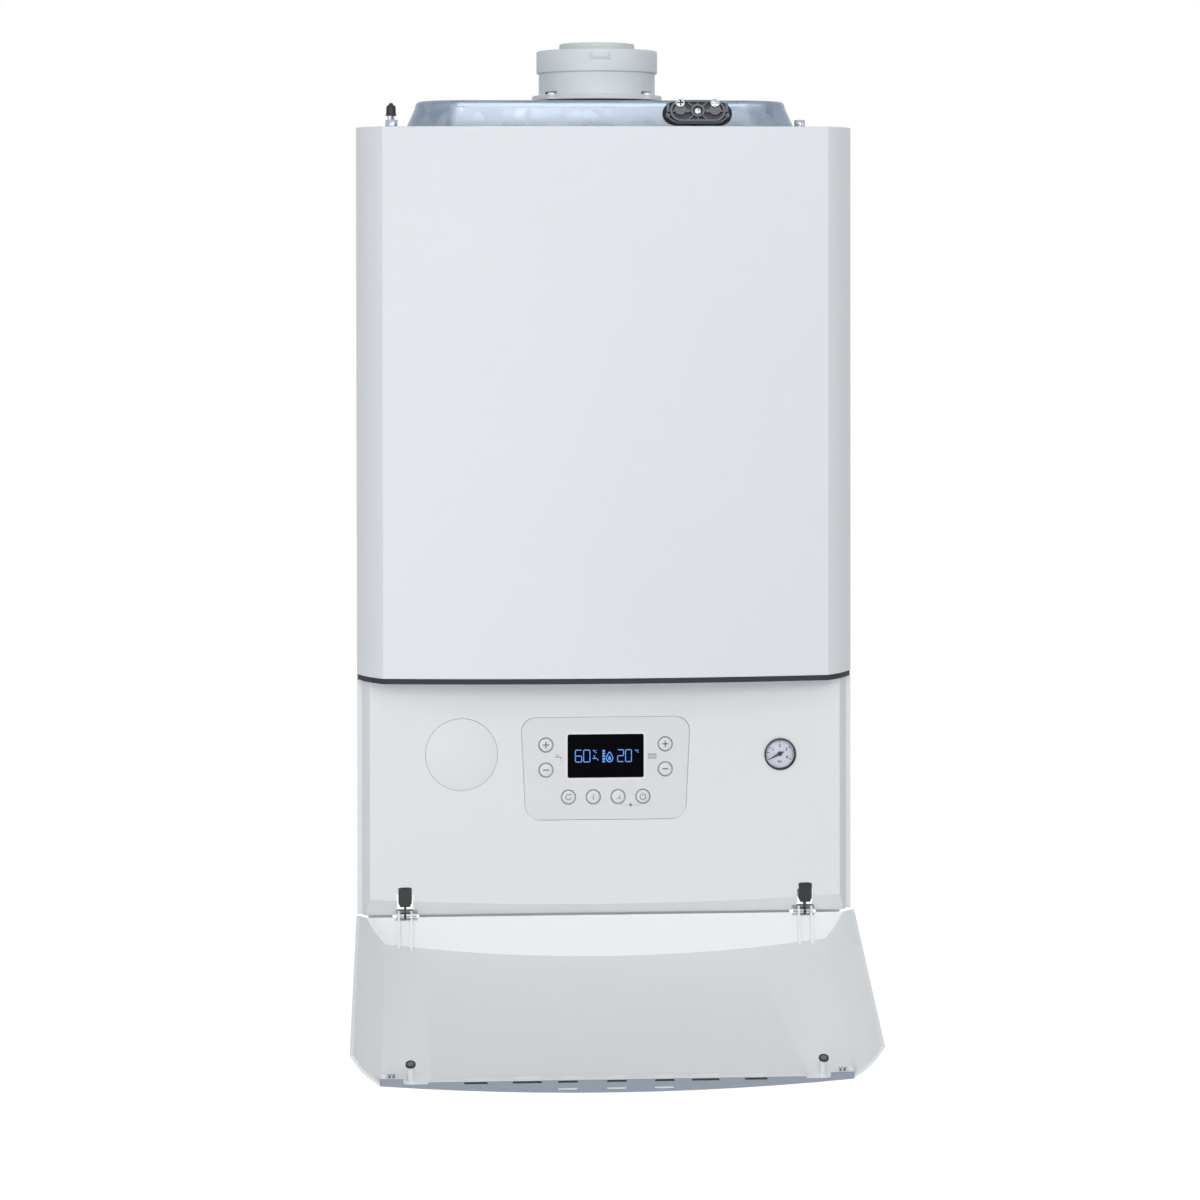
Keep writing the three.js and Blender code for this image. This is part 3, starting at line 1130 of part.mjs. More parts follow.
// The inlet cover and its gasket lie on the hood's sloping front.
const hoodSlope = Math.atan2(HOOD_TAPER, hoodTop - 5 - hoodBottom);
const inletGroup = new THREE.Group();
const inletRise = TOP + INLET_RISE;
const inletSetBack = Math.tan(hoodSlope) * (inletRise - hoodBottom) - GAP / Math.cos(hoodSlope);
inletGroup.position.set(INLET_X, depth(HOOD_FRONT_DEPTH) + inletSetBack, inletRise);
inletGroup.rotation.x = -hoodSlope;
boiler.add(inletGroup);

/** A body drawn about the inlet group's own origin, facing -Y. */
function inletPiece(name, body, material) {
  const { x, y, z } = inletGroup.position;
  piece(name, body.translate([x, y, z]), material, inletGroup);
}

const inletGasket = () =>
  forward(stadium(INLET_GASKET_WIDTH, INLET_GASKET_HEIGHT), 0, INLET_GASKET_THICKNESS, 4);

function inletCover() {
  const back = -INLET_GASKET_THICKNESS - GAP;
  const plate = forward(stadium(INLET_WIDTH, INLET_HEIGHT), back, INLET_THICKNESS - 2, 4);
  const rim = forward(stadium(INLET_WIDTH, INLET_HEIGHT), back, INLET_THICKNESS, 4)
    .subtract(forward(stadium(INLET_WIDTH - 4, INLET_HEIGHT - 4), back + 1, INLET_THICKNESS + 2, 4));
  const front = back - INLET_THICKNESS;
  const ring = rodY(6.4, front - 1, back - 1, 0, 0).subtract(rodY(4.6, front - 2, back - 2.4, 0, 0));
  const screw = rodY(2.9, front - 0.4, back - 2, 0, 0);
  const ribs = [...Array(8).keys()].map((i) => {
    const rib = new THREE.BoxGeometry(7, INLET_THICKNESS - 2, 1).translate(8.6, back - INLET_THICKNESS / 2, 0)
      .rotateY((i * Math.PI) / 4);
    return solid(rib);
  });
  const inside = forward(stadium(INLET_WIDTH - 2, INLET_HEIGHT - 2), back, INLET_THICKNESS, 4);
  const bosses = [-1, 1].flatMap((side) => [
    rodY(3.6, front - 0.6, back - 1, side * INLET_SCREW_SPACING / 2, INLET_HEIGHT / 2 - 3),
    rodY(2.6, front, back - 1, side * (INLET_WIDTH / 2 - 7), -3),
    box(side * (INLET_WIDTH / 2 + 0.8) - 2.4, side * (INLET_WIDTH / 2 + 0.8) + 2.4, back - 3, back, -4, 3),
  ]);
  return join(plate, rim, ring, screw, join(...ribs).intersect(inside), ...bosses);
}

function chargeValve() {
  const x = VALVE_X;
  const y = vesselMiddle;
  const hexTop = TOP + VALVE_BASE_RISE + VALVE_HEX_HEIGHT;
  const tube = rodZ(VALVE_TUBE, level(VESSEL_DROP) + GAP, TOP + VALVE_BASE_RISE + 1, x, y);
  const hex = rodZ(VALVE_HEX, TOP + VALVE_BASE_RISE, hexTop, x, y, 6);
  const stem = rodZ(VALVE_STEM, hexTop - 1, TOP + VALVE_CAP_RISE + 4, x, y);
  return join(tube, hex, stem);
}

function chargeCap() {
  const bottom = TOP + VALVE_CAP_RISE;
  const top = bottom + VALVE_CAP_HEIGHT;
  const bore = VALVE_STEM + GAP;
  const crown = VALVE_CAP_RADIUS;
  return spun([
    [bore, bottom], [crown, bottom], [crown, bottom + 2], [crown - 0.6, bottom + 2.4],
    [crown - 0.6, top - 3], [crown - 1.6, top - 1], [crown - 3, top], [0, top],
    [0, bottom + 4.6], [bore, bottom + 4.6], [bore, bottom],
  ], VALVE_X, vesselMiddle);
}

// ------------------------------------------------------------------ sealed chamber
function expansionVessel() {
  const middle = level(VESSEL_DROP + VESSEL_HEIGHT / 2);
  const slab = (shrink, y, thickness) => forward(
    roundedRect(VESSEL_WIDTH - shrink, VESSEL_HEIGHT - shrink, VESSEL_CORNER - shrink / 2, 0, middle),
    y, thickness, 3);
  const rim = slab(0, vesselBack - VESSEL_THICKNESS / 2 + 4, 8);
  const half = slab(12, vesselBack - 6, VESSEL_THICKNESS - 12);
  const dish = slab(40, vesselBack, VESSEL_THICKNESS);
  return join(rim, half, dish);
}

const exchangerBack = vesselBack - VESSEL_THICKNESS - 4;
const exchangerFront = depth(EXCHANGER_DEPTH);
const exchangerLength = exchangerBack - exchangerFront;
const exchangerZ = level(EXCHANGER_DROP);

function heatExchanger() {
  const bands = [0.12, 0.88].map((share) => {
    const y = exchangerBack - share * exchangerLength;
    return rodY(EXCHANGER_RADIUS, y - 6, y + 6, 0, exchangerZ);
  });
  const shell = rodY(EXCHANGER_RADIUS - 3, exchangerFront, exchangerBack, 0, exchangerZ);
  const collar = rodZ(EXCHANGER_COLLAR, exchangerZ, level(EXCHANGER_COLLAR_DROP), 0, -FLUE_TO_WALL, 24);
  const feet = [-1, 1].map((side) => {
    const x = side * EXCHANGER_FEET_SPACING / 2;
    return box(x - EXCHANGER_FOOT / 2, x + EXCHANGER_FOOT / 2, exchangerFront + 12, exchangerBack - 12,
      level(FLOOR_DROP) + GAP, exchangerZ - EXCHANGER_RADIUS / 2);
  });
  const ports = rodX(PORT_RADIUS, -PORT_REACH, PORT_REACH, -PIPE_ROW, level(PORT_DROP));
  const drain = rodZ(PIPE_RADIUS, level(FLOOR_DROP) - SHEET - DRAIN_LENGTH,
    exchangerZ - EXCHANGER_RADIUS / 2, TRAP_X, -TRAP_ROW);
  return join(shell, ...bands, collar, ...feet, ports, drain);
}

function waterPipe(side, bottomDrop) {
  return bentBar([
    [side * PUMP_X, -PIPE_ROW, level(bottomDrop) + GAP], [side * PUMP_X, -PIPE_ROW, level(PORT_DROP)],
    [side * (PORT_REACH + GAP), -PIPE_ROW, level(PORT_DROP)],
  ], PIPE_RADIUS, PORT_TO_PIPE - 2);
}

const burnerBack = exchangerFront - GAP;
const burnerFront = burnerBack - BURNER_THICKNESS;
const fanBack = burnerFront - 15;
const fanMiddle = fanBack - FAN_DEPTH / 2;
const fanTop = level(FAN_DROP) + FAN_RADIUS;
const fanOutletX = FAN_X + FAN_RADIUS - ELBOW_RADIUS / 2 - 6;

function burnerDoor() {
  const disc = spunForward([
    [0, 0], [BURNER_RADIUS, 0], [BURNER_RADIUS, BURNER_THICKNESS - 2], [BURNER_RADIUS - 2, BURNER_THICKNESS],
    [0, BURNER_THICKNESS],
  ], 0, burnerBack, exchangerZ);
  const elbow = bentBar([
    [fanOutletX, burnerFront + 1, exchangerZ], [fanOutletX, fanMiddle, exchangerZ],
    [fanOutletX, fanMiddle, fanTop + GAP],
  ], ELBOW_RADIUS * 0.6, 20);
  const electrode = rodY(4, burnerFront - 20, burnerFront + 1, 42, exchangerZ + 30);
  return join(disc, elbow, electrode);
}

/** A round housing open at its inlet, with a hole for the shaft in its back. */
function impellerHousing(radius, length, inlet, x, back, z) {
  const outer = rodY(radius, back - length, back, x, z);
  const cavity = rodY(radius - HOUSING_WALL, back - length + HOUSING_WALL, back - HOUSING_WALL, x, z);
  const mouth = rodY(inlet, back - length - 1, back - length + HOUSING_WALL + 1, x, z);
  const shaftHole = rodY(SHAFT_RADIUS + RUNNING, back - HOUSING_WALL - 1, back + 1, x, z);
  return { outer, hollow: [cavity, mouth, shaftHole] };
}

/** A back disc with blades and a shaft, for the housing of the same sizes. */
function impeller(radius, length, blades, x, back, z) {
  const reach = radius - HOUSING_WALL - IMPELLER_CLEAR;
  const discBack = back - HOUSING_WALL - IMPELLER_CLEAR;
  const bladeLength = length - 2 * (HOUSING_WALL + IMPELLER_CLEAR);
  const disc = rodY(reach, discBack - 2, discBack, x, z);
  const shaft = rodY(SHAFT_RADIUS, discBack - bladeLength, back + 2, x, z);
  const vanes = [...Array(blades).keys()].map((i) => {
    const vane = new THREE.BoxGeometry(reach * 0.5, bladeLength, 1.6)
      .translate(reach * 0.72, discBack - bladeLength / 2, 0).rotateY(0.35);
    return solid(vane.rotateY((i / blades) * Math.PI * 2).translate(x, 0, z));
  });
  const swept = rodY(reach, discBack - bladeLength - 1, discBack + 1, x, z);
  return join(disc, shaft, join(...vanes).intersect(swept));
}

function fanHousing() {
  const z = level(FAN_DROP);
  const { outer, hollow } = impellerHousing(FAN_RADIUS, FAN_DEPTH, FAN_INLET, FAN_X, fanBack, z);
  const outlet = rodZ(ELBOW_RADIUS * 0.6, level(FAN_DROP), fanTop, fanOutletX, fanMiddle);
  const motor = rodY(FAN_MOTOR_RADIUS, fanBack - 1, fanBack + FAN_MOTOR_LENGTH, FAN_X, level(FAN_DROP))
    .subtract(rodY(SHAFT_RADIUS + RUNNING, fanBack - 2, fanBack + 4, FAN_X, level(FAN_DROP)));
  return cut(join(outer, outlet, motor), ...hollow);
}

const fanImpeller = () =>
  impeller(FAN_RADIUS, FAN_DEPTH, FAN_BLADES, FAN_X, fanBack, level(FAN_DROP));

const gasValveTop = level(FLOOR_DROP) + GAS_VALVE_HEIGHT;
const gasPortZ = level(FLOOR_DROP) + GAS_PORT_HEIGHT;

function gasValve() {
  const low = level(FLOOR_DROP) + GAP;
  const x = GAS_VALVE_X;
  const body = box(x - GAS_VALVE_WIDTH / 2, x + GAS_VALVE_WIDTH / 2, -GAS_ROW - GAS_VALVE_DEPTH / 2,
    -GAS_ROW + GAS_VALVE_DEPTH / 2, low, gasValveTop - GAS_COIL_HEIGHT);
  const coils = [-1, 1].map((side) => rodZ(GAS_COIL_RADIUS, gasValveTop - GAS_COIL_HEIGHT - 1, gasValveTop,
    x + side * GAS_VALVE_WIDTH / 4, -GAS_ROW));
  const port = rodX(GAS_PORT_RADIUS, x - GAS_VALVE_WIDTH / 2 - 6, x, -GAS_ROW, gasPortZ);
  return join(body, ...coils, port);
}

function gasPipe() {
  const start = GAS_VALVE_X - GAS_VALVE_WIDTH / 2 - 6 - GAP;
  const besideFan = FAN_X + FAN_RADIUS;
  return bentBar([
    [start, -GAS_ROW, gasPortZ], [besideFan + 14, -GAS_ROW, gasPortZ],
    [besideFan + 14, fanMiddle, level(FAN_DROP)], [besideFan + GAP, fanMiddle, level(FAN_DROP)],
  ], GAS_PIPE_RADIUS, 8);
}

// ------------------------------------------------------------------ water side
/** A tail with its lock nut under the bracket, closed by its transport cap. */
function waterTail(x, radius, topDrop) {
  const nutTop = level(BRACKET_PLATE_DROP) - 2 * SHEET - GAP;
  const tube = rodZ(radius, level(TAIL_DROP), level(topDrop), x, -PIPE_ROW);
  const nut = rodZ(radius + NUT_RIM, nutTop - NUT_HEIGHT, nutTop, x, -PIPE_ROW, 6);
  const cap = rodZ(radius + CAP_WALL, level(TAIL_DROP), level(TAIL_DROP) + CAP_HEIGHT, x, -PIPE_ROW);
  return join(tube, nut, cap);
}

function pumpBody() {
  const back = -PIPE_ROW + PUMP_DEPTH / 2;
  const z = level(PUMP_DROP);
  const { outer, hollow } = impellerHousing(PUMP_RADIUS, PUMP_DEPTH, PUMP_INLET, PUMP_X, back, z);
  const neck = rodZ(NECK_RADIUS, level(PUMP_DROP), level(NECK_DROP), PUMP_X, -PIPE_ROW);
  const tail = waterTail(PUMP_X, LARGE_TAIL, PUMP_DROP);
  const collar = rodZ(NECK_RADIUS + 2, level(WATER_BLOCK_DROP), level(PUMP_DROP), PUMP_X, -PIPE_ROW);
  const port = rodX(PORT_RADIUS, PLATES_WIDTH / 2 + GAP, PUMP_X, -PIPE_ROW, level(SIDE_PORT_DROP));
  const motor = rodY(PUMP_MOTOR_RADIUS, back - 1, back + PUMP_MOTOR_LENGTH, PUMP_X, level(PUMP_DROP))
    .subtract(rodY(SHAFT_RADIUS + RUNNING, back - 2, back + 4, PUMP_X, level(PUMP_DROP)));
  return cut(join(outer, neck, collar, tail, port, motor), ...hollow);
}

const pumpImpeller = () => impeller(PUMP_RADIUS, PUMP_DEPTH, PUMP_BLADES, PUMP_X,
  -PIPE_ROW + PUMP_DEPTH / 2, level(PUMP_DROP));

const spindleBack = -PIPE_ROW - 4;
const spindleFront = spindleBack - SPINDLE_LENGTH;
const cageFront = -PIPE_ROW - DIVERTER_RADIUS - DIVERTER_CAGE;

function diverterBody() {
  const x = -PUMP_X;
  const z = level(PUMP_DROP);
  const halfMotor = DIVERTER_MOTOR / 2;
  const body = rodZ(DIVERTER_RADIUS, level(WATER_BLOCK_DROP), level(NECK_DROP), x, -PIPE_ROW);
  const tail = waterTail(x, LARGE_TAIL, WATER_BLOCK_DROP - 5);
  const port = rodX(PORT_RADIUS, x, -PLATES_WIDTH / 2 - GAP, -PIPE_ROW, level(SIDE_PORT_DROP));
  const relief = rodX(RELIEF_RADIUS, RELIEF_SEAT_X, x, -PIPE_ROW, level(RELIEF_DROP));
  const cage = rodY(DIVERTER_CAGE_RADIUS, cageFront - 1, -PIPE_ROW - DIVERTER_RADIUS / 2, x, z);
  const opening = box(x - DIVERTER_RADIUS, x + DIVERTER_RADIUS, cageFront, -PIPE_ROW - DIVERTER_RADIUS - 1,
    z - DIVERTER_CAGE_RADIUS / 2, z + DIVERTER_CAGE_RADIUS / 2);
  const motor = box(x - halfMotor, x + halfMotor, cageFront - DIVERTER_MOTOR_LENGTH, cageFront,
    z - halfMotor, z + halfMotor);
  const bore = rodY(SPINDLE_RADIUS + RUNNING, spindleFront - SPINDLE_TRAVEL - 3, spindleBack + 1, x, z);
  return cut(join(cut(join(body, cage), opening), tail, port, relief, motor), bore);
}

const diverterSpindle = () => rodY(SPINDLE_RADIUS, spindleFront, spindleBack, -PUMP_X, level(PUMP_DROP));

function reliefKnob() {
  const start = RELIEF_SEAT_X - GAP;
  const lobes = [...Array(6).keys()].map((i) => {
    const angle = (i * Math.PI) / 3;
    return rodX(3, start - KNOB_LENGTH, start, -PIPE_ROW + (KNOB_RADIUS - 2) * Math.cos(angle),
      level(RELIEF_DROP) + (KNOB_RADIUS - 2) * Math.sin(angle));
  });
  return join(rodX(KNOB_RADIUS - 1.5, start - KNOB_LENGTH, start, -PIPE_ROW, level(RELIEF_DROP)), ...lobes);
}

/** A brazed stack of plates, whose edges show as ribs, with the two small tails under it. */
function plateExchanger() {
  const back = -PIPE_ROW + PLATES_LENGTH / 2;
  const pitch = PLATES_LENGTH / PLATE_COUNT;
  const half = PLATES_WIDTH / 2;
  const high = level(PLATES_DROP);
  const low = high - PLATES_HEIGHT;
  const core = box(-half + 2, half - 2, back - PLATES_LENGTH, back, low + 2, high - 2);
  const plates = [...Array(PLATE_COUNT).keys()].map((i) =>
    box(-half, half, back - (i + 0.8) * pitch, back - (i + 0.2) * pitch, low, high));
  const tailTop = PLATES_DROP + PLATES_HEIGHT - 4;
  const tails = [-1, 1].map((place) => waterTail(place * TAIL_PITCH, SMALL_TAIL, tailTop));
  return join(core, ...plates, ...tails);
}

function gasTail() {
  const tailTop = aboveBottom(GAS_TAIL_HEIGHT);
  const turn = level(aboveBottom(GAS_RISER_HEIGHT));
  const cross = level(FLOOR_DROP + GAS_CROSS_BELOW);
  const riserY = -PIPE_ROW - PLATES_LENGTH / 2 - GAS_RISER_CLEAR;
  const riser = bentBar([
    [0, -PIPE_ROW, level(tailTop) - 1], [0, -PIPE_ROW, turn], [0, riserY, turn], [0, riserY, cross],
    [GAS_VALVE_X, -GAS_ROW, cross], [GAS_VALVE_X, -GAS_ROW, level(FLOOR_DROP)],
  ], GAS_PIPE_RADIUS, GAS_BEND);
  return join(waterTail(0, SMALL_TAIL, tailTop), riser);
}

function condensateTrap() {
  const top = level(FLOOR_DROP) - SHEET - DRAIN_LENGTH - GAP;
  const bottom = top - TRAP_LENGTH;
  return spun([
    [0, bottom], [TRAP_OUTLET, bottom], [TRAP_OUTLET, bottom + 12], [TRAP_RADIUS - 6, bottom + 16],
    [TRAP_RADIUS, bottom + 24], [TRAP_RADIUS, top - 14], [TRAP_RADIUS + TRAP_RING, top - 14],
    [TRAP_RADIUS + TRAP_RING, top - 6], [TRAP_NECK, top - 6], [TRAP_NECK, top], [0, top],
  ], TRAP_X, -TRAP_ROW);
}

// ------------------------------------------------------------------ assembly
piece('rear_frame', rearFrame(), galvanised);
piece('side_panel_left', sidePanel(-1), whitePaint);
piece('side_panel_right', sidePanel(1), whitePaint);
piece('top_panel', topPanel(), galvanised);
piece('chamber_floor', chamberFloor(), galvanised);
piece('connection_bracket', connectionBracket(), galvanised);
piece('front_cover', frontCover(), whitePaint);
piece('accent_strip', accentStrip(), slatePlastic);

piece('fascia', fasciaPanel(), whitePlastic);
piece('blank_cover', blankCover(), whitePlastic);
piece('control_plate', controlPlate(), platePlastic);
piece('display_window', displayWindow(), displayGlass);
buttons.forEach(([name, x, drop]) => piece(name, pushButton(x, drop), platePlastic));
piece('control_box', controlBox(), greyPlastic);
piece('control_board', controlBoard(), boardGreen);
piece('gauge_case', gaugeCase(), blackPlastic);
piece('gauge_dial', gaugeDial(), dialWhite);
piece('gauge_needle', gaugeNeedle(), blackPlastic);
piece('gauge_lens', gaugeLens(), clearLens);

piece('hinge_bracket_left', hingeBracket(-1), blackPlastic);
piece('hinge_bracket_right', hingeBracket(1), blackPlastic);
piece('door', doorTray(), whitePlastic, doorGroup);
piece('door_trim', doorTrim(), greyTrim, doorGroup);
piece('catch_disc_left', catchDisc(-1), greyPlastic, doorGroup);
piece('catch_disc_right', catchDisc(1), greyPlastic, doorGroup);
piece('hinge_pin_left', hingePin(-1), steel, doorGroup);
piece('hinge_pin_right', hingePin(1), steel, doorGroup);

piece('chamber_hood', chamberHood(), galvanised);
piece('flue_gasket', flueGasket(), rubber);
piece('flue_adapter', flueAdapter(), whitePlastic);
piece('flue_inner_pipe', flueInnerPipe(), whitePlastic);
piece('flue_duct', flueDuct(), castAluminium);
inletPiece('inlet_gasket', inletGasket(), rubber);
inletPiece('inlet_cover', inletCover(), greyPlastic);
piece('charge_valve', chargeValve(), steel);
piece('charge_cap', chargeCap(), blackPlastic);

piece('expansion_vessel', expansionVessel(), redPaint);
piece('heat_exchanger', heatExchanger(), castAluminium);
piece('burner_door', burnerDoor(), castAluminium);
piece('fan_housing', fanHousing(), castAluminium);
piece('fan_impeller', fanImpeller(), blackPlastic);
piece('gas_valve', gasValve(), castAluminium);
piece('gas_pipe', gasPipe(), steel);
piece('gas_tail', gasTail(), steel);
piece('flow_pipe', waterPipe(-1, NECK_DROP), copper);
piece('return_pipe', waterPipe(1, NECK_DROP), copper);
piece('pump_body', pumpBody(), castAluminium);
piece('pump_impeller', pumpImpeller(), blackPlastic);
piece('diverter_body', diverterBody(), brassMetal);
piece('diverter_spindle', diverterSpindle(), steel);
piece('relief_knob', reliefKnob(), redPaint);
piece('plate_exchanger', plateExchanger(), steel);
piece('condensate_trap', condensateTrap(), greyPlastic);

export default boiler;
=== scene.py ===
# %% [markdown]
# # A wall-hung combi boiler with its door open
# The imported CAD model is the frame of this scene: it holds the true sizes and the joints. Each of
# its nodes is shown again here as a finer piece with a finish of its own, and each finer piece
# rides on the body of the node that it stands for, so the door, the buttons and the needle move.

# %% Load the frame and keep its box
import math
import json

import bmesh
import bpy
from mathutils import Matrix, Vector
from mathutils.geometry import tessellate_polygon

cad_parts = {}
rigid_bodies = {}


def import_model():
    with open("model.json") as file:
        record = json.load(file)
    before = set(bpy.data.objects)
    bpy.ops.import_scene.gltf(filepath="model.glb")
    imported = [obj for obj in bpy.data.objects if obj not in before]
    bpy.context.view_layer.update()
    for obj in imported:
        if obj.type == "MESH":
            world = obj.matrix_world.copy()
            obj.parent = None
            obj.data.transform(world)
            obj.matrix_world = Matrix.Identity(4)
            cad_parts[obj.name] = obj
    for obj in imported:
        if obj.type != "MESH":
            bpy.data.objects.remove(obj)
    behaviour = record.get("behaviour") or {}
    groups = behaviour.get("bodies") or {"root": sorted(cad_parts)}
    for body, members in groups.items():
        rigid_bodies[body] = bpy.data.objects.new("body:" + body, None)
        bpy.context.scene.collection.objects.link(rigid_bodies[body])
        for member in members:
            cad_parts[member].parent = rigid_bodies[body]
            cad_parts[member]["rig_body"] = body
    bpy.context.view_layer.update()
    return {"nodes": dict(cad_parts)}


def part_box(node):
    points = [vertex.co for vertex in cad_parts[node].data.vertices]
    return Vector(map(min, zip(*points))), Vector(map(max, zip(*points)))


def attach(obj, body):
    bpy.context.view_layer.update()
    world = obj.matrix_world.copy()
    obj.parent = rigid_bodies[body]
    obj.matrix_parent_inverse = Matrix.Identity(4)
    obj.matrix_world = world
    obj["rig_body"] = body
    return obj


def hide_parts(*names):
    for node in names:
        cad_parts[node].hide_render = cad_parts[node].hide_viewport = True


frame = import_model()
nodes = frame["nodes"]
scene = bpy.context.scene
MM = 0.001
print("nodes in the frame:", len(nodes))

# %% [markdown]
# ## The camera
# The photographer stood a little left of the middle, level with the casing's top, and shifted
# the frame down instead of tilting the camera, so upright edges stay upright. A camera could be
# aimed with a Track To constraint, but a measured direction and shift give the same perspective.

# %% Camera at the photograph's viewpoint
PHOTO_SIZE = 1200
FOCAL_PIXELS = 2866.711
CENTRE_X, CENTRE_Y = 595.8436, 252.4616
YAW, PITCH, ROLL = 0.0513844, 0.0069731, -0.0011528
EYE = (-0.128994, -2.637107, -0.046743)

level_right = Vector((math.cos(YAW), -math.sin(YAW), 0))
level_ahead = Vector((math.sin(YAW), math.cos(YAW), 0))
upward = Vector((0, 0, 1))
ahead = math.cos(PITCH) * level_ahead - math.sin(PITCH) * upward
over = math.cos(PITCH) * upward + math.sin(PITCH) * level_ahead
right = math.cos(ROLL) * level_right + math.sin(ROLL) * over
top = math.cos(ROLL) * over - math.sin(ROLL) * level_right

camera_data = bpy.data.cameras.new("photo_camera")
camera_data.sensor_width = 36
camera_data.lens = FOCAL_PIXELS * camera_data.sensor_width / PHOTO_SIZE
camera_data.shift_x = (PHOTO_SIZE / 2 - CENTRE_X) / PHOTO_SIZE
camera_data.shift_y = (CENTRE_Y - PHOTO_SIZE / 2) / PHOTO_SIZE
camera = bpy.data.objects.new("photo_camera", camera_data)
camera.matrix_world = (Matrix.Translation(EYE)
                       @ Matrix((right, top, -ahead)).transposed().to_4x4())
scene.collection.objects.link(camera)
scene.camera = camera
print("lens:", round(camera_data.lens, 2), "mm, shift:", round(camera_data.shift_y, 4))

# %% [markdown]
# ## Shader arithmetic
# A finish is easier to read as a sum than as a picture of nodes. One small class wraps a socket,
# and every operator used on it adds the Math node that does that sum.

# %% A socket that can be added and multiplied


class Value:
    """A number that varies over a surface: an output socket of a node tree."""

    def __init__(self, shading, socket):
        self.shading = shading
        self.socket = socket

    def math(self, operation, first, second):
        return self.shading.node("ShaderNodeMath", {"operation": operation}, {0: first, 1: second})

    def __add__(self, other):
        return self.math("ADD", self, other)

    def __sub__(self, other):
        return self.math("SUBTRACT", self, other)

    def __rsub__(self, other):
        return self.math("SUBTRACT", other, self)

    def __mul__(self, other):
        return self.math("MULTIPLY", self, other)

    __radd__ = __add__
    __rmul__ = __mul__


class Shading:
    """A node tree whose nodes are added by one method."""

    def __init__(self, tree):
        self.tree = tree

    def feed(self, socket, value):
        if isinstance(value, Value):
            self.tree.links.new(value.socket, socket)
        else:
            socket.default_value = value

    def node(self, kind, settings=None, inputs=None, output=0):
        """Adds a node: its settings first, then its sockets' values or links."""
        node = self.tree.nodes.new(kind)
        for name, setting in (settings or {}).items():
            setattr(node, name, setting)
        for name, value in (inputs or {}).items():
            self.feed(node.inputs[name], value)
        return Value(self, node.outputs[output])

    def seen(self):
        """1 where the camera looks, also in metal and through glass, and 0 for other light."""
        rays = [self.node("ShaderNodeLightPath", output=ray)
                for ray in ("Is Camera Ray", "Is Glossy Ray", "Is Transmission Ray")]
        return rays[0].math("MAXIMUM", rays[0].math("MAXIMUM", rays[0], rays[1]), rays[2])


# %% [markdown]
# ## A finish
# Each finish is one Principled shader. What is the same all over the surface is set on the
# shader's own sockets, and only colour, roughness and the bump of the grain are fed by nodes.

# %% The finish builder
finishes = {}


def linear(red, green, blue):
    """A colour as it is seen on screen, from 0 to 255, as the shader's linear values."""
    def curve(c):
        c /= 255
        return c / 12.92 if c <= 0.04045 else ((c + 0.055) / 1.055) ** 2.4
    return (curve(red), curve(green), curve(blue), 1.0)


class Finish(Shading):
    """A material made of one Principled shader and the nodes that vary it."""

    def __init__(self, name, colour, roughness, **constants):
        self.material = bpy.data.materials.new(name)
        self.material.use_nodes = True
        super().__init__(self.material.node_tree)
        self.shader = self.tree.nodes["Principled BSDF"]
        self.set("Base Color", colour)
        self.set("Roughness", roughness)
        for socket, value in constants.items():
            self.set(socket.replace("_", " "), value)
        self.place = self.node("ShaderNodeTexCoord", output="Object")
        finishes[name] = self

    def set(self, socket, value):
        self.feed(self.shader.inputs[socket], value)

    def mix(self, factor, first, second):
        """Between two colours."""
        settings = {"data_type": "RGBA"}
        return self.node("ShaderNodeMix", settings, {0: factor, 6: first, 7: second}, 2)

    def stretched(self, x, y, z):
        """The surface's own place, scaled along each axis."""
        settings = {"operation": "MULTIPLY"}
        return self.node("ShaderNodeVectorMath", settings, {0: self.place, 1: (x, y, z)})

    def noise(self, size, detail=3.0, place=None):
        """Soft cloudy noise from 0 to 1 whose lumps are about `size` metres across."""
        inputs = {"Vector": place or self.place, "Scale": 1 / size, "Detail": detail}
        return self.node("ShaderNodeTexNoise", None, inputs)

    def cells(self, size, place):
        """Crystals about `size` metres across, each with a random colour."""
        inputs = {"Vector": place, "Scale": 1 / size}
        return self.node("ShaderNodeTexVoronoi", None, inputs, "Color")

    def bump(self, height, depth, strength):
        """Raises the grain: `height` from 0 to 1 over `depth` metres."""
        inputs = {"Height": height, "Distance": depth, "Strength": strength}
        self.set("Normal", self.node("ShaderNodeBump", None, inputs))


def shade(colour, share):
    return tuple(c * share for c in colour[:3]) + (1.0,)


# %% [markdown]
# ## Studio
# The boiler hangs in front of a white sweep. The floor lies well below it and keeps its soft
# shadow. Floor and world look white to the camera, in metal and through glass, and add no light to
# paint. A wall would be nearer the real fitting, but it would hide the back.

# %% World and floor
world = bpy.data.worlds.new("studio")
scene.world = world
scene.view_settings.view_transform = "Standard"
world.use_nodes = True
sky = Shading(world.node_tree)
sky.tree.nodes.clear()
fill = sky.node("ShaderNodeBackground", None, {"Color": (0.93, 0.97, 1.0, 1), "Strength": 0.40})
white = sky.node("ShaderNodeBackground", None, {"Color": (1, 1, 1, 1), "Strength": 1.0})
shown = sky.node("ShaderNodeMixShader", None, {0: sky.seen(), 1: fill, 2: white})
output = sky.tree.nodes.new("ShaderNodeOutputWorld")
sky.feed(output.inputs["Surface"], shown)

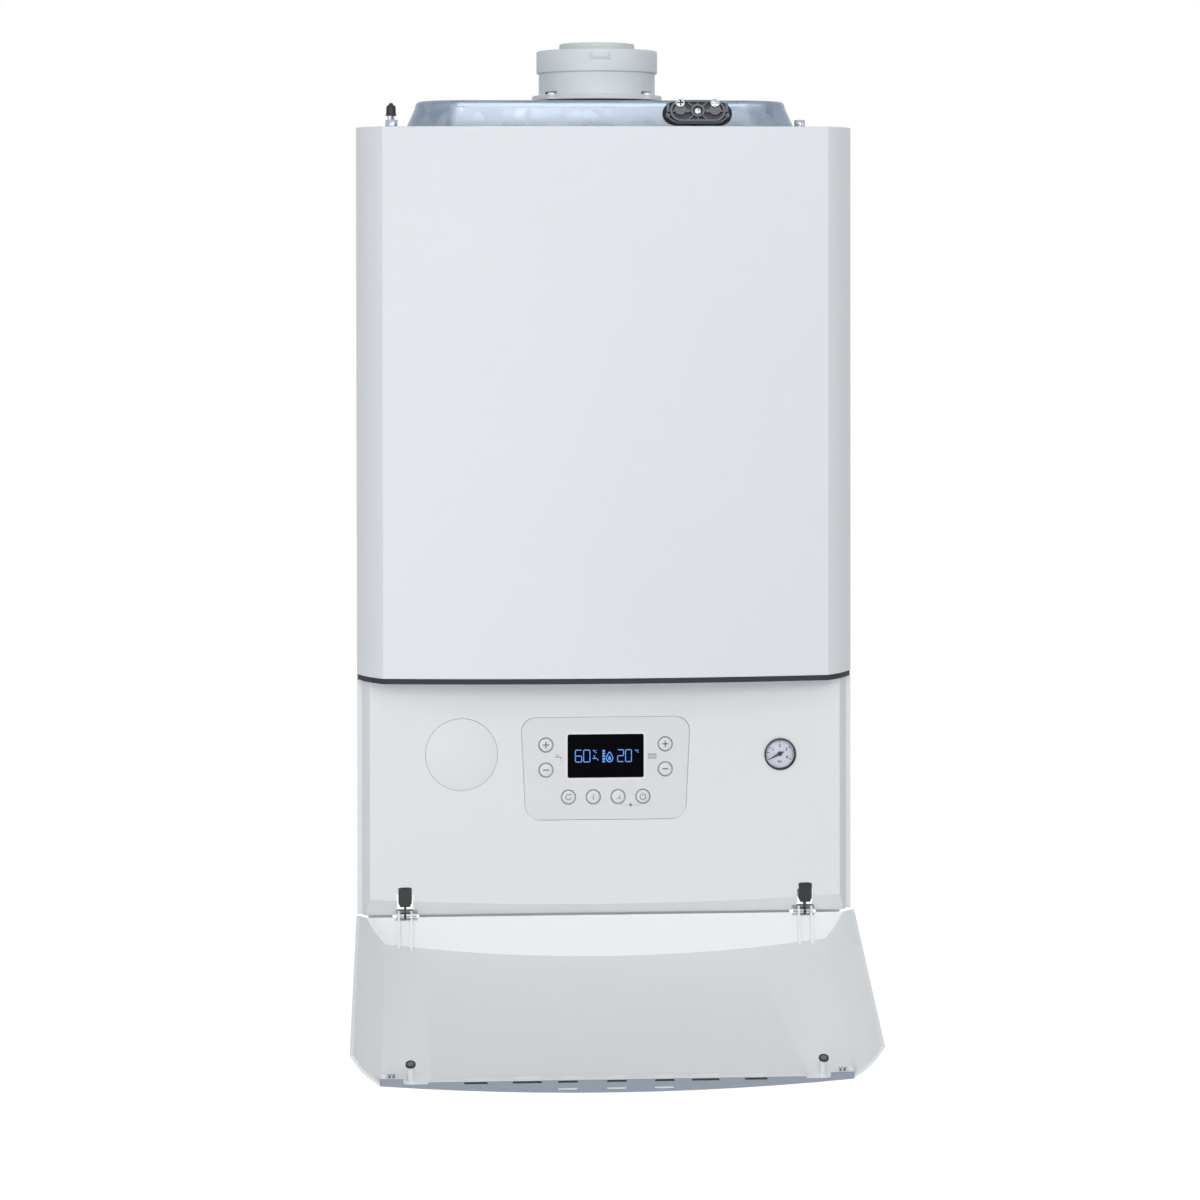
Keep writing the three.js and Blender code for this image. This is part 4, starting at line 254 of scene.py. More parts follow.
FLOOR_LEVEL, FLOOR_REACH = -1.25, 9
floor_mesh = bpy.data.meshes.new("floor")
corners = [(a * FLOOR_REACH, b * FLOOR_REACH, FLOOR_LEVEL)
           for a, b in ((-1, -1), (1, -1), (1, 1), (-1, 1))]
floor_mesh.from_pydata(corners, [], [(0, 1, 2, 3)])
floor = bpy.data.objects.new("floor", floor_mesh)
scene.collection.objects.link(floor)
paper = Finish("floor_paper", (0.88, 0.88, 0.88, 1), 0.9)
glow = paper.node("ShaderNodeEmission", None, {"Color": (1, 1, 1, 1), "Strength": 1.25})
lit = Value(paper, paper.shader.outputs[0])
GLOW_SHARE = 0.78  # the rest of the floor's look is its own paper with the object's shadow
surface = paper.node("ShaderNodeMixShader", None, {0: paper.seen() * GLOW_SHARE, 1: lit, 2: glow})
paper.feed(paper.tree.nodes["Material Output"].inputs["Surface"], surface)
floor_mesh.materials.append(paper.material)
print("floor at", FLOOR_LEVEL, "m")

# %% [markdown]
# ## Lamps
# Large soft boxes light white goods, because small lamps leave hard shadows on them. Two stand in
# front on the left and one on the right, one in the middle lights the open door's floor, and a
# warm one high up is there only as a bright patch in the galvanised hood.

# %% Lamps


def lamp(name, place, aim, size, power, colour=(1, 1, 1)):
    """A soft square lamp of `size` metres, which shines from `place` to `aim`."""
    data = bpy.data.lights.new(name, "AREA")
    data.size = size
    data.energy = power
    data.color = colour
    light = bpy.data.objects.new(name, data)
    light.location = place
    light.rotation_euler = (Vector(aim) - Vector(place)).to_track_quat("-Z", "Y").to_euler()
    scene.collection.objects.link(light)


casing_middle = (0, -0.25, -0.35)
open_door = (0, -0.35, -0.65)
warm = (1.0, 0.86, 0.72)
lamp("key_left", (-2.6, -3.5, 0.1), casing_middle, 2.0, 26)
lamp("low_fill", (-0.9, -4.0, -0.8), casing_middle, 1.4, 19)
lamp("hood_box", (-0.07, -2.3, 2.1), (-0.06, -0.2, 0.05), 0.48, 8, warm)
lamp("door_light", (0.1, -3.0, 1.0), open_door, 1.0, 19)
lamp("right_soft", (2.0, -2.4, 0.8), (0, -0.35, -0.6), 1.2, 10)

# %% [markdown]
# ## Finishes of the boiler
# The casing is steel with a baked white powder coat, which has a fine ripple. The mouldings
# are white plastic with a faint grain, and the parts inside are cast, turned, bent or pressed
# metal. Each grain is about a millimetre across, so it comes from noise in the surface's own
# place and not from an image.

# %% Coated and moulded finishes


def coating(name, red, green, blue, roughness, grain, depth, shine=0.5):
    """Paint or plastic: a fine grain, and a colour and gloss that drift slightly."""
    colour = linear(red, green, blue)
    finish = Finish(name, colour, roughness, Specular_IOR_Level=shine)
    drift = finish.noise(0.12, 2.0)
    finish.set("Base Color", finish.mix(drift, shade(colour, 0.985), shade(colour, 1.015)))
    speck = finish.noise(grain * MM)
    finish.set("Roughness", roughness - 0.04 + 0.08 * speck)
    finish.bump(speck, depth * MM, 0.5)


# Colour on screen, roughness, the grain's size and depth in millimetres, and any lower shine.
COATINGS = {
    "white_paint": (219, 223, 227, 0.36, 1.6, 0.04),
    "white_plastic": (221, 224, 226, 0.42, 0.7, 0.03),
    "door_plastic": (229, 232, 234, 0.42, 0.7, 0.03),
    "plate_plastic": (216, 217, 220, 0.40, 0.6, 0.03),
    "pale_frame": (224, 226, 229, 0.35, 0.6, 0.03),
    "flue_plastic": (214, 220, 223, 0.45, 0.8, 0.03),
    "slate_plastic": (48, 53, 64, 0.60, 0.6, 0.03, 0.25),
    "trim_grey": (150, 160, 172, 0.55, 0.8, 0.03, 0.3),
    "grey_plastic": (104, 108, 114, 0.50, 0.7, 0.04),
    # a darker grey for the inlet cover's floor between its ribs: painted shade
    "dark_recess": (66, 64, 68, 0.60, 0.7, 0.04),
    "black_plastic": (22, 23, 26, 0.42, 0.6, 0.04),
    "rubber": (20, 20, 21, 0.80, 0.9, 0.06),
    "red_paint": (168, 44, 36, 0.38, 1.2, 0.05),
    "circuit_board": (30, 92, 58, 0.45, 1.0, 0.03),
    "dial_white": (190, 195, 210, 0.55, 0.5, 0.02),
    "print_grey": (118, 122, 129, 0.50, 0.6, 0.01),
    "print_dark": (84, 88, 96, 0.50, 0.6, 0.01),
    "print_pale": (158, 162, 168, 0.50, 0.6, 0.01),
    "print_black": (34, 36, 44, 0.50, 0.6, 0.01),
    "print_red": (176, 58, 52, 0.50, 0.6, 0.01),
}
for name, row in COATINGS.items():
    coating(name, *row)
print("coatings:", len(COATINGS))

# %% Metal finishes


def metal(name, red, green, blue, roughness, grain, depth, streak=1.0, worn=0.06):
    """Bare metal: streaks along Z where streak is over 1, and patches of duller gloss."""
    colour = linear(red, green, blue)
    finish = Finish(name, colour, roughness, Metallic=1.0)
    lines = finish.noise(grain * MM, place=finish.stretched(1, 1, 1 / streak))
    patches = finish.noise(0.03)
    finish.set("Base Color", finish.mix(patches, shade(colour, 0.93), shade(colour, 1.05)))
    finish.set("Roughness", roughness + worn * (patches - 0.5) + 0.1 * (lines - 0.5))
    finish.bump(lines, depth * MM, 0.4)


# Colour on screen, roughness, the grain's size and depth in millimetres, streak and wear.
METALS = {
    "steel": (176, 180, 186, 0.30, 0.6, 0.03, 4.0),
    "screw_steel": (206, 208, 212, 0.24, 0.5, 0.02),
    "spring_steel": (126, 140, 160, 0.34, 0.5, 0.02),
    "cast_aluminium": (170, 172, 175, 0.55, 0.9, 0.12),
    "brass": (188, 158, 96, 0.34, 0.8, 0.03),
    "nickel": (168, 176, 178, 0.26, 0.7, 0.03),
    "copper": (186, 120, 84, 0.32, 1.0, 0.03, 3.0, 0.12),
}
for name, row in METALS.items():
    metal(name, *row)
print("metals:", len(METALS))

# %% [markdown]
# Hot-dip galvanised sheet shows flat crystals about a centimetre across in slightly different
# blue-greys. Voronoi cells give one random tone for each crystal, and noise drawn out along the
# sheet gives the streaks that the rollers leave.

# %% Galvanised sheet
zinc = Finish("galvanised", linear(140, 155, 172), 0.34, Metallic=1.0)
crystals = zinc.cells(0.012, zinc.stretched(1, 1, 0.7))
spangle = zinc.node("ShaderNodeSeparateColor", None, {0: crystals})
rolled = zinc.noise(0.004, place=zinc.stretched(0.25, 1, 1))
tone = 0.5 * spangle + 0.5 * rolled
zinc.set("Base Color", zinc.mix(tone, linear(112, 128, 147), linear(150, 162, 177)))
zinc.set("Roughness", 0.22 + 0.12 * spangle + 0.10 * rolled)
zinc.bump(tone, 0.00004, 0.4)

# %% Glass and display
display = Finish("display_window", linear(3, 3, 6), 0.14, Specular_IOR_Level=0.03)
display.set("Roughness", 0.10 + 0.10 * display.noise(0.02))
digits = Finish("display_light", linear(58, 92, 150), 0.4, Specular_IOR_Level=0.1,
                Emission_Color=linear(98, 156, 240), Emission_Strength=0.9)
flicker = digits.noise(0.002, 2.0)
digits.set("Base Color", digits.mix(flicker, linear(52, 84, 140), linear(64, 100, 160)))
glass = Finish("gauge_lens", (1, 1, 1, 1), 0.03, Transmission_Weight=1.0, IOR=1.15)
glass.set("Roughness", 0.015 + 0.03 * glass.noise(0.004))
print("finishes:", len(finishes))

# %% [markdown]
# ## Refined nodes
# A CAD solid has knife edges and flat facets. Real sheet and mouldings have rounded edges, and
# their thin highlight is what makes an edge look real. The solid's mesh is copied, its coplanar
# triangles are joined, and a narrow bevel rounds each edge.

# %% From a CAD node to a shown piece
pieces = {}
SIDES = (("left", -1), ("right", 1))


def smooth(mesh, angle):
    for polygon in mesh.polygons:
        polygon.use_smooth = True
    mesh.set_sharp_from_angle(angle=math.radians(angle))


def show(name, mesh, finish, body, *stands_for):
    """A finished piece that rides on a body and may stand for CAD nodes."""
    obj = bpy.data.objects.new(name, mesh)
    scene.collection.objects.link(obj)
    mesh.materials.clear()
    mesh.materials.append(finishes[finish].material)
    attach(obj, body)
    if stands_for:
        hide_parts(*stands_for)
    pieces[name] = obj
    return obj


def rounded(obj, width, angle, segments=2):
    """Rounds every edge sharper than `angle` by `width` millimetres."""
    bevel = obj.modifiers.new("edge", "BEVEL")
    bevel.width = width * MM
    bevel.segments = segments
    bevel.limit_method = "ANGLE"
    bevel.angle_limit = math.radians(angle)
    bevel.harden_normals = True


def meshed(bm, name, flat):
    """Joins the faces that lie within `flat` degrees of one plane, and keeps the mesh."""
    bmesh.ops.dissolve_limit(bm, angle_limit=math.radians(flat), verts=bm.verts, edges=bm.edges)
    mesh = bpy.data.meshes.new(name)
    bm.to_mesh(mesh)
    bm.free()
    return mesh


def refined(node_name, finish, edge, angle=30.0, segments=2):
    """The CAD node's own shape with joined flats and rounded edges."""
    node = nodes[node_name]
    bm = bmesh.new()
    bm.from_mesh(node.data)
    bmesh.ops.remove_doubles(bm, verts=bm.verts, dist=1e-6)
    mesh = meshed(bm, "fine_" + node_name, 0.3)
    for name in ("custom_normal", "sharp_edge", "sharp_face"):
        if name in mesh.attributes:
            mesh.attributes.remove(mesh.attributes[name])
    smooth(mesh, angle)
    obj = show("fine_" + node_name, mesh, finish, node["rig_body"], node_name)
    rounded(obj, edge, angle, segments)


def spot(node_name):
    """The lowest and highest corners of a CAD node, in millimetres."""
    low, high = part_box(node_name)
    return low / MM, high / MM


# %% [markdown]
# ## Outlines and solids
# Most small parts here are turned, or flat with a drawn outline: a list of points in millimetres,
# seen from the front. It could be a Bezier curve, but plain points are easier to cut holes in, and
# serve for prints, plates and ribs alike.

# %% Outlines


def polar(radius, degrees, x=0.0, z=0.0):
    angle = math.radians(degrees)
    return x + radius * math.cos(angle), z + radius * math.sin(angle)


def arc(x, z, radius, start, end, count=24):
    """Points round a centre, from one angle in degrees to another."""
    return [polar(radius, start + (end - start) * i / count, x, z) for i in range(count + 1)]


def disc(x, z, radius, count=64):
    return arc(x, z, radius, 0, 360, count)[:-1]


def ring(x, z, inner, outer, count=64):
    return [disc(x, z, outer, count), disc(x, z, inner, count)]


def band(x, z, inner, outer, start, end, count=24):
    return [arc(x, z, outer, start, end, count) + arc(x, z, inner, end, start, count)]


def bar(x0, z0, x1, z1, width):
    """A straight stroke from one point to another."""
    along = Vector((x1 - x0, z1 - z0)).normalized() * width / 2
    side = Vector((-along.y, along.x))
    return [[(x0 + side.x, z0 + side.y), (x0 - side.x, z0 - side.y),
             (x1 - side.x, z1 - side.y), (x1 + side.x, z1 + side.y)]]


def eased(points, radius, count=6):
    """The closed outline with each corner rounded off."""
    result = []
    for i, point in enumerate(points):
        corner = Vector(point)
        before = Vector(points[i - 1]) - corner
        after = Vector(points[(i + 1) % len(points)]) - corner
        reach = radius / math.tan(before.angle(after) / 2)
        reach = min(reach, 0.49 * before.length, 0.49 * after.length)
        start, end = before.normalized() * reach, after.normalized() * reach
        weight = math.sin(before.angle(after) / 2)
        for k in range(count + 1):
            t = k / count
            share = (1 - t) ** 2 + 2 * t * (1 - t) * weight + t ** 2
            result.append(tuple(corner + ((1 - t) ** 2 * start + t ** 2 * end) / share))
    return result


def plus(a, b):
    """A cross with four equal arms that reach `a` from its middle and are 2 `b` wide."""
    return [(-a, -b), (-b, -b), (-b, -a), (b, -a), (b, -b), (a, -b),
            (a, b), (b, b), (b, a), (-b, a), (-b, b), (-a, b)]


def panel(x, z, width, height, radius=0.3):
    w, h = width / 2, height / 2
    return eased([(x - w, z - h), (x + w, z - h), (x + w, z + h), (x - w, z + h)], radius)


# %% Solids from outlines and profiles


def prism(islands, near, far):
    """Flat shapes between the depths `near` and `far`; each island is an outline and its holes."""
    points, faces = [], []
    for loops in islands:
        base = len(points)
        flat = [[Vector((x, z, 0)) for x, z in loop] for loop in loops]
        count = sum(len(loop) for loop in loops)
        points += [(x, near, z) for loop in loops for x, z in loop]
        points += [(x, far, z) for loop in loops for x, z in loop]
        for a, b, c in tessellate_polygon(flat):
            faces += [(base + a, base + b, base + c),
                      (base + count + c, base + count + b, base + count + a)]
        start = base
        for loop in loops:
            for i in range(len(loop)):
                a, b = start + i, start + (i + 1) % len(loop)
                faces.append((a, b, b + count, a + count))
            start += len(loop)
    return points, faces


def lofted(rings, closed=True):
    """A skin through rings of equal count; where it is closed, the last joins the first."""
    count, faces = len(rings[0]), []
    for i in range(len(rings) if closed else len(rings) - 1):
        j = (i + 1) % len(rings)
        for k in range(count):
            m = (k + 1) % count
            faces.append((i * count + k, i * count + m, j * count + m, j * count + k))
    return [point for loop in rings for point in loop], faces


def turned(profile, x, across, axis="Z", count=96):
    """Spins a closed profile of (radius, height) points; `axis` is the way that heights run."""
    rings = []
    for i in range(count):
        c, s = math.cos(math.tau * i / count), math.sin(math.tau * i / count)
        spoke = [(x + radius * c, across + radius * s, height) for radius, height in profile]
        rings.append(spoke if axis == "Z" else [(u, height, v) for u, v, height in spoke])
    return lofted(rings)


def block(x0, x1, y0, y1, z0, z1):
    return prism([[[(x0, z0), (x1, z0), (x1, z1), (x0, z1)]]], y0, y1)


def formed(name, parts, place=None):
    """One mesh in metres from several solids in millimetres, moved by `place`."""
    bm = bmesh.new()
    for points, faces in parts:
        made = [bm.verts.new((place @ Vector(p) if place else Vector(p)) * MM) for p in points]
        for face in faces:
            bm.faces.new([made[i] for i in face])
        bmesh.ops.remove_doubles(bm, verts=made, dist=1e-8)
    bmesh.ops.dissolve_degenerate(bm, dist=1e-8, edges=bm.edges)
    bmesh.ops.recalc_face_normals(bm, faces=bm.faces)
    return meshed(bm, name, 0.2)


def baked(obj):
    """The mesh of an object after its modifiers."""
    depsgraph = bpy.context.evaluated_depsgraph_get()
    return bpy.data.meshes.new_from_object(obj.evaluated_get(depsgraph))


def carved(mesh, tool):
    """The mesh with the tool's volume taken away by a Boolean."""
    blank = bpy.data.objects.new("blank", mesh)
    tool_obj = bpy.data.objects.new("tool", tool)
    for obj in (blank, tool_obj):
        scene.collection.objects.link(obj)
    cut = blank.modifiers.new("cut", "BOOLEAN")
    cut.operation = "DIFFERENCE"
    cut.solver = "EXACT"
    cut.object = tool_obj
    result = baked(blank)
    for obj in (blank, tool_obj):
        bpy.data.objects.remove(obj)
    return result


def piece(name, parts, finish, body="boiler", *stands_for, place=None, edge=0.0, angle=30.0,
          less=None):
    """A new piece from solids: `less` are solids cut away, `edge` rounds the corners left."""
    mesh = formed(name, parts, place)
    if less:
        mesh = carved(mesh, formed("tool", less, place))
    smooth(mesh, angle)
    obj = show(name, mesh, finish, body, *stands_for)
    if edge:
        rounded(obj, edge, angle)


def remade(node_name, parts, finish, **options):
    """A piece that stands for a CAD node and rides on its body."""
    piece("fine_" + node_name, parts, finish, nodes[node_name]["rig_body"], node_name, **options)


# %% [markdown]
# ## Casing
# The cover is a pressed sheet with a bowed front, creases and arced corners. The CAD solid has
# these forms, so its edges only need the sheet's bend radius.

# %% Casing
refined("front_cover", "white_paint", 0.9, 20, 3)
for side, _ in SIDES:
    refined("side_panel_" + side, "white_paint", 0.45, 20)
refined("accent_strip", "slate_plastic", 0.3, 20)
for name in ("rear_frame", "top_panel", "chamber_floor", "connection_bracket"):
    refined(name, "galvanised", 0.3)
print("casing pieces:", len(pieces))

# %% [markdown]
# ## Fascia and door
# The fascia and the drop-down door are white mouldings, and a grey trim closes the door's free
# end. Their forms come from the CAD, with a moulding's softer edge.

# %% Fascia, door and hinges
refined("fascia", "white_plastic", 0.5, 24)
refined("door", "door_plastic", 0.5, 24)
refined("door_trim", "trim_grey", 0.2)
refined("control_box", "grey_plastic", 0.5)
refined("control_board", "circuit_board", 0.2)
for side, _ in SIDES:
    refined("hinge_pin_" + side, "steel", 0.2)
print("pieces:", len(pieces))

# %% [markdown]
# ## Hinge brackets
# A black plastic bracket clips into each slot of the fascia. From the front it is a block that
# narrows at its foot, with a thin cap that stands just ahead of the fascia. Below it a thin blade
# hooks round the steel pin of the door's ears.

# %% Hinge brackets
HINGE_X, PIN_Y, PIN_Z = 165.4, -274.0, -609.0
CAP_FRONT, BRACKET_BACK = -278.22, -259.3
CAP_BACK = CAP_FRONT + 0.2
foot = [(-5.5, -598.0), (-3.9, -601.5), (3.9, -601.5), (5.5, -598.0)]
bracket_cap = [(-5.5, -585.7)] + foot + [(5.5, -585.7)]
bracket_body = ([(-3.8, -585.7), (-3.8, -591.6), (-5.5, -591.6)] + foot
                + [(5.5, -591.6), (3.8, -591.6), (3.8, -585.7)])
hook = [(-2.2, 9), (8, 9), (3.4, 0), (2.4, -2.4), (0, -3.4), (-2.4, -2.4), (-3.4, 0)]
eye = eased([(PIN_Y + u, PIN_Z + v) for u, v in hook], 0.8, 3)
for side, sign in SIDES:
    x = sign * HINGE_X
    cap, body = (prism([[eased([(x + u, z) for u, z in outline], 0.4, 3)]], near, far)
                 for outline, near, far in ((bracket_cap, CAP_FRONT, CAP_BACK),
                                            (bracket_body, CAP_BACK, BRACKET_BACK)))
    flat, faces = prism([[eye, disc(PIN_Y, PIN_Z, 2.3, 32)]], x - 0.9, x + 0.9)
    blade = [(depth, y, z) for y, depth, z in flat], faces
    marks = [block(x - 2.4, x + 2.4, CAP_FRONT - 0.3, CAP_FRONT + 0.1, z, z + 0.5)
             for z in (-587.2, -588.6)]
    remade("hinge_bracket_" + side, [cap, body, blade] + marks, "black_plastic", edge=0.08)
print("hinges at x", HINGE_X)

# %% [markdown]
# ## Flange under the fascia
# No light shows between the fascia and the open door. A return edge on the fascia's underside is
# taken to close that line. It could be part of the fascia's own mesh, but three plain strips
# leave the slots of the door's ears free.

# %% Flange under the fascia
fascia_foot = spot("fascia")[0].z
FLANGE_FRONT, FLANGE_BACK, FLANGE_DROP = -263.8, -262.2, 7.0
for name, start, end in (("left", -196, -176), ("middle", -154, 154), ("right", 176, 196)):
    strip = block(start, end, FLANGE_FRONT, FLANGE_BACK, fascia_foot - FLANGE_DROP,
                  fascia_foot + 0.3)
    piece("fascia_flange_" + name, [strip], "white_plastic", edge=0.3)
print("fascia's foot at z", round(fascia_foot, 1))

# %% [markdown]
# ## Screw heads
# A pan head is a turned dome with a cross recess. The recess is cut with a Boolean, and a black
# plate on its floor is painted shade, because the cross is what shows it as a screw at a few
# pixels across.

# %% A pan-head screw


def screw(name, radius, height, place):
    """A cross-head screw that faces -Y in its own frame; `place` moves it to its seat."""
    cross = plus(0.62 * radius, 0.17 * radius)
    dome = [(0, 0.4), (radius, 0.4), (radius, -0.3 * height), (0.94 * radius, -0.55 * height),
            (0.8 * radius, -0.8 * height), (0.55 * radius, -0.97 * height), (0, -height)]
    recess = prism([[cross]], -height - 1, -0.35 * height)
    # Painted shade: a black plate at the foot of the cross recess, where the steel is dark only by
    # shade.
    shadow = prism([[cross]], -0.42 * height, -0.3 * height)
    piece(name + "_recess", [shadow], "black_plastic", place=place)
    piece(name, [turned(dome, 0, 0, "Y", 40)], "screw_steel", place=place, less=[recess])


def seat(x, y, z, tilt=0.0):
    """A place for a piece that faces -Y, tipped back by `tilt` degrees."""
    return Matrix.Translation((x, y, z)) @ Matrix.Rotation(math.radians(-tilt), 4, "X")


# %% [markdown]
# ## Blank cover
# A round plastic disc fills the opening for a clock. It is one turned profile with a soft rim.

# %% Blank cover
low, high = spot("blank_cover")
blank_radius = (high.x - low.x) / 2
cover_points = [(0, high.y), (blank_radius, high.y), (blank_radius, low.y + 0.8),
                (blank_radius - 0.25, low.y + 0.25), (blank_radius - 0.8, low.y), (0, low.y)]
remade("blank_cover", [turned(cover_points, (low.x + high.x) / 2, (low.z + high.z) / 2, "Y")],
       "white_plastic")
print("blank cover radius:", round(blank_radius, 1), "mm")

# %% [markdown]
# ## Control plate
# The plate is a rounded trapezoid with holes for eight buttons and a window. Its outline is drawn
# with true arcs, and its edge is rounded by a bevel.

# %% Control plate
low, high = spot("control_plate")
plate_front, plate_back = low.y, high.y
TOP_HALF, BOTTOM_HALF = 69.9, 65.9
trapezoid = [(-BOTTOM_HALF, low.z), (BOTTOM_HALF, low.z), (TOP_HALF, high.z), (-TOP_HALF, high.z)]
BUTTON_PLACES = {
    "water_plus": (-49.3, -469.3), "water_minus": (-49.3, -490.0),
    "heating_plus": (49.3, -469.3), "heating_minus": (49.3, -490.0),
    "row_1": (-30.75, -512.5), "row_2": (-10.25, -512.5), "row_3": (10.25, -512.5),
    "power": (30.75, -512.5),
}
WINDOW_Z, WINDOW_WIDTH, WINDOW_HEIGHT = -478.7, 63.0, 36.0
BUTTON_HOLE, BUTTON_CROWN, BUTTON_FLANGE = 5.8, 5.3, 6.5
holes = [disc(x, z, BUTTON_HOLE) for x, z in BUTTON_PLACES.values()]
window_hole = panel(0, WINDOW_Z, WINDOW_WIDTH, WINDOW_HEIGHT, 1.5)
plate_outline = [eased(trapezoid, 12, 16), window_hole] + holes
remade("control_plate", [prism([plate_outline], plate_front, plate_back)], "plate_plastic",
       edge=0.35)
pale = [panel(0, WINDOW_Z, WINDOW_WIDTH + 4, WINDOW_HEIGHT + 4, 3.2), window_hole]
piece("window_surround", [prism([pale], plate_front - 0.22, plate_front + 0.4)], "pale_frame",
      edge=0.15)
refined("display_window", "display_window", 0.3)
print("control plate holes:", len(holes) + 1)

# %% [markdown]
# ## Push buttons
# Each button is turned, with a flange that keeps it behind its hole, and rides on its own body, so
# its printed sign moves with it. The signs are thin raised shapes, so that a print stays sharp as
# mesh without an image.

# %% Buttons and their signs
CROWN, INK = plate_front + 0.1, 0.03
button_profile = [
    (0, -268.1), (2, -268.1), (2, -274.6), (BUTTON_FLANGE, -274.6), (BUTTON_FLANGE, -275.5),
    (BUTTON_CROWN, -275.5), (BUTTON_CROWN, CROWN + 0.45), (5.18, CROWN + 0.14), (4.9, CROWN),
    (0, CROWN),
]


def printed(name, islands, x, z, finish="print_grey", body="boiler", level=plate_front):
    """Ink round x, z on a flat face that lies at the depth `level`."""
    placed = [[[(x + u, z + v) for u, v in loop] for loop in island] for island in islands]
    piece(name, [prism(placed, level + 0.1, level - INK)], finish, body)


SIGNS = {
    "plus": [[plus(2.5, 0.45)]],
    "minus": [bar(-2.5, 0, 2.5, 0, 0.9)],
    "row_1": [band(0, 0, 1.9, 2.5, 70, 350), [[(1.2, 2.9), (1.2, 1.1), (2.7, 2.1)]]],
    "row_2": [bar(0, -2.2, 0, 0.8, 0.7), [disc(0, 2.0, 0.45, 24)]],
    "row_3": [bar(1.5 * k, -2.0, 1.5 * k, -0.4 + 1.2 * k, 0.6) for k in (-1, 0, 1)],
    "power": [band(0, -0.2, 2.1, 2.7, 125, 415), bar(0, 0.4, 0, 3.1, 0.6)],
}
for name, (x, z) in BUTTON_PLACES.items():
    remade("button_" + name, [turned(button_profile, x, z, "Y", 64)], "plate_plastic")
    sign = SIGNS[name if name in SIGNS else name.split("_")[1]]
    printed("sign_" + name, sign, x, z, "print_dark", name, CROWN)
    printed("ring_" + name, [ring(0, 0, 5.9, 6.35)], x, z)
print("buttons:", len(BUTTON_PLACES))

# %% Prints on the plate
ICON_Z = -479.6
tap = [bar(-2.4, 0.3, 1.4, 0.3, 1.0), bar(-0.9, 0.7, -0.9, 2.2, 0.5),
       bar(-2.0, 2.3, 0.2, 2.3, 0.6), band(1.2, -0.7, 0.6, 1.5, 0, 90, 10),
       bar(2.25, -0.6, 2.25, -1.2, 0.9), [disc(2.25, -2.3, 0.45, 16)]]
printed("tap_sign", tap, -39.2, ICON_Z, "print_pale")
heater = [[panel(1.5 * k, 0.4, 0.8, 4.6, 0.35)] for k in (-2, -1, 0, 1, 2)]
heater += [bar(-3.6, z, 3.6, z, 0.45) for z in (2.0, -1.3)]
printed("radiator_sign", heater, 38.5, ICON_Z, "print_pale")
lock = [[panel(0, -0.6, 2.4, 1.8, 0.2)], band(0, 0.3, 0.55, 0.9, 0, 180)]
lock += [bar(s * a, -0.6, s * (a + 1.1), -0.6, 0.3) for s in (-1, 1) for a in (2.2, 4.2, 6.2)]
printed("lock_sign", lock, 20.6, -519.0)
print("plate prints: tap, radiator, lock")

# %% [markdown]
# ## Display
# The window is smoked plastic with lit segments behind it. Seven-segment digits are seven bars
# each, and a faint emission makes them glow without lighting the plate.

# %% Lit segments
SEGMENTS = {"0": "abcdef", "2": "abged", "6": "acdefg"}


def seven(text, x, width, z=-4.9, height=9.8, stroke=0.72):
    """Digits made of bars; x, z is the lower left corner."""
    islands = []
    for k, character in enumerate(text):
        left, gap = x + k * (width + 1.6), 0.35 * stroke
        far, mid, high = left + width, z + height / 2, z + height
        ends = {
            "a": (left + gap, high, far - gap, high), "g": (left + gap, mid, far - gap, mid),
            "d": (left + gap, z, far - gap, z), "f": (left, mid + gap, left, high - gap),
            "b": (far, mid + gap, far, high - gap), "e": (left, z + gap, left, mid - gap),
            "c": (far, z + gap, far, mid - gap),
        }
        islands += [bar(*ends[s], stroke) for s in SEGMENTS[character]]
    return islands


def degree_c(x, z=3.6):
    """A small degree sign and C."""
    return [ring(x, z + 0.9, 0.28, 0.62, 20), band(x + 1.9, z, 0.75, 1.15, 50, 310, 16)]


glyphs = seven("60", -25.0, 5.2) + seven("20", 9.9, 4.9)
glyphs += degree_c(-10.0) + degree_c(24.9)
glyphs += [bar(-10.6, -2.0, -7.4, -2.0, 0.8), bar(-9.4, -1.4, -9.4, -0.2, 0.45),
           bar(-10.2, 0.1, -8.6, 0.1, 0.45), bar(-6.5, -2.4, -6.5, -3.6, 0.8)]
glyphs += [bar(-1.6, -5.4 + 2.2 * k, -1.6, -3.9 + 2.2 * k, 2.2) for k in range(5)]
FLAME_X = 3.2
tongue = [(0, 4.6), (2.0, 1.0), (3.3, -2.2), (2.1, -4.8), (0, -5.6), (-2.1, -4.8),
          (-3.3, -2.2), (-2.0, 1.0)]
drop, inner, flame = (
    eased([(FLAME_X + u * wide, (v + sink) * tall - sink) for u, v in tongue], 3, 4)
    for wide, tall, sink in ((1, 1, 0), (0.74, 0.78, 1.2), (0.34, 0.44, 2.2)))
glyphs += [[drop, inner], [flame]]
printed("lit_segments", glyphs, 0, WINDOW_Z, "display_light", level=spot("display_window")[0].y)
print("lit shapes:", len(glyphs))
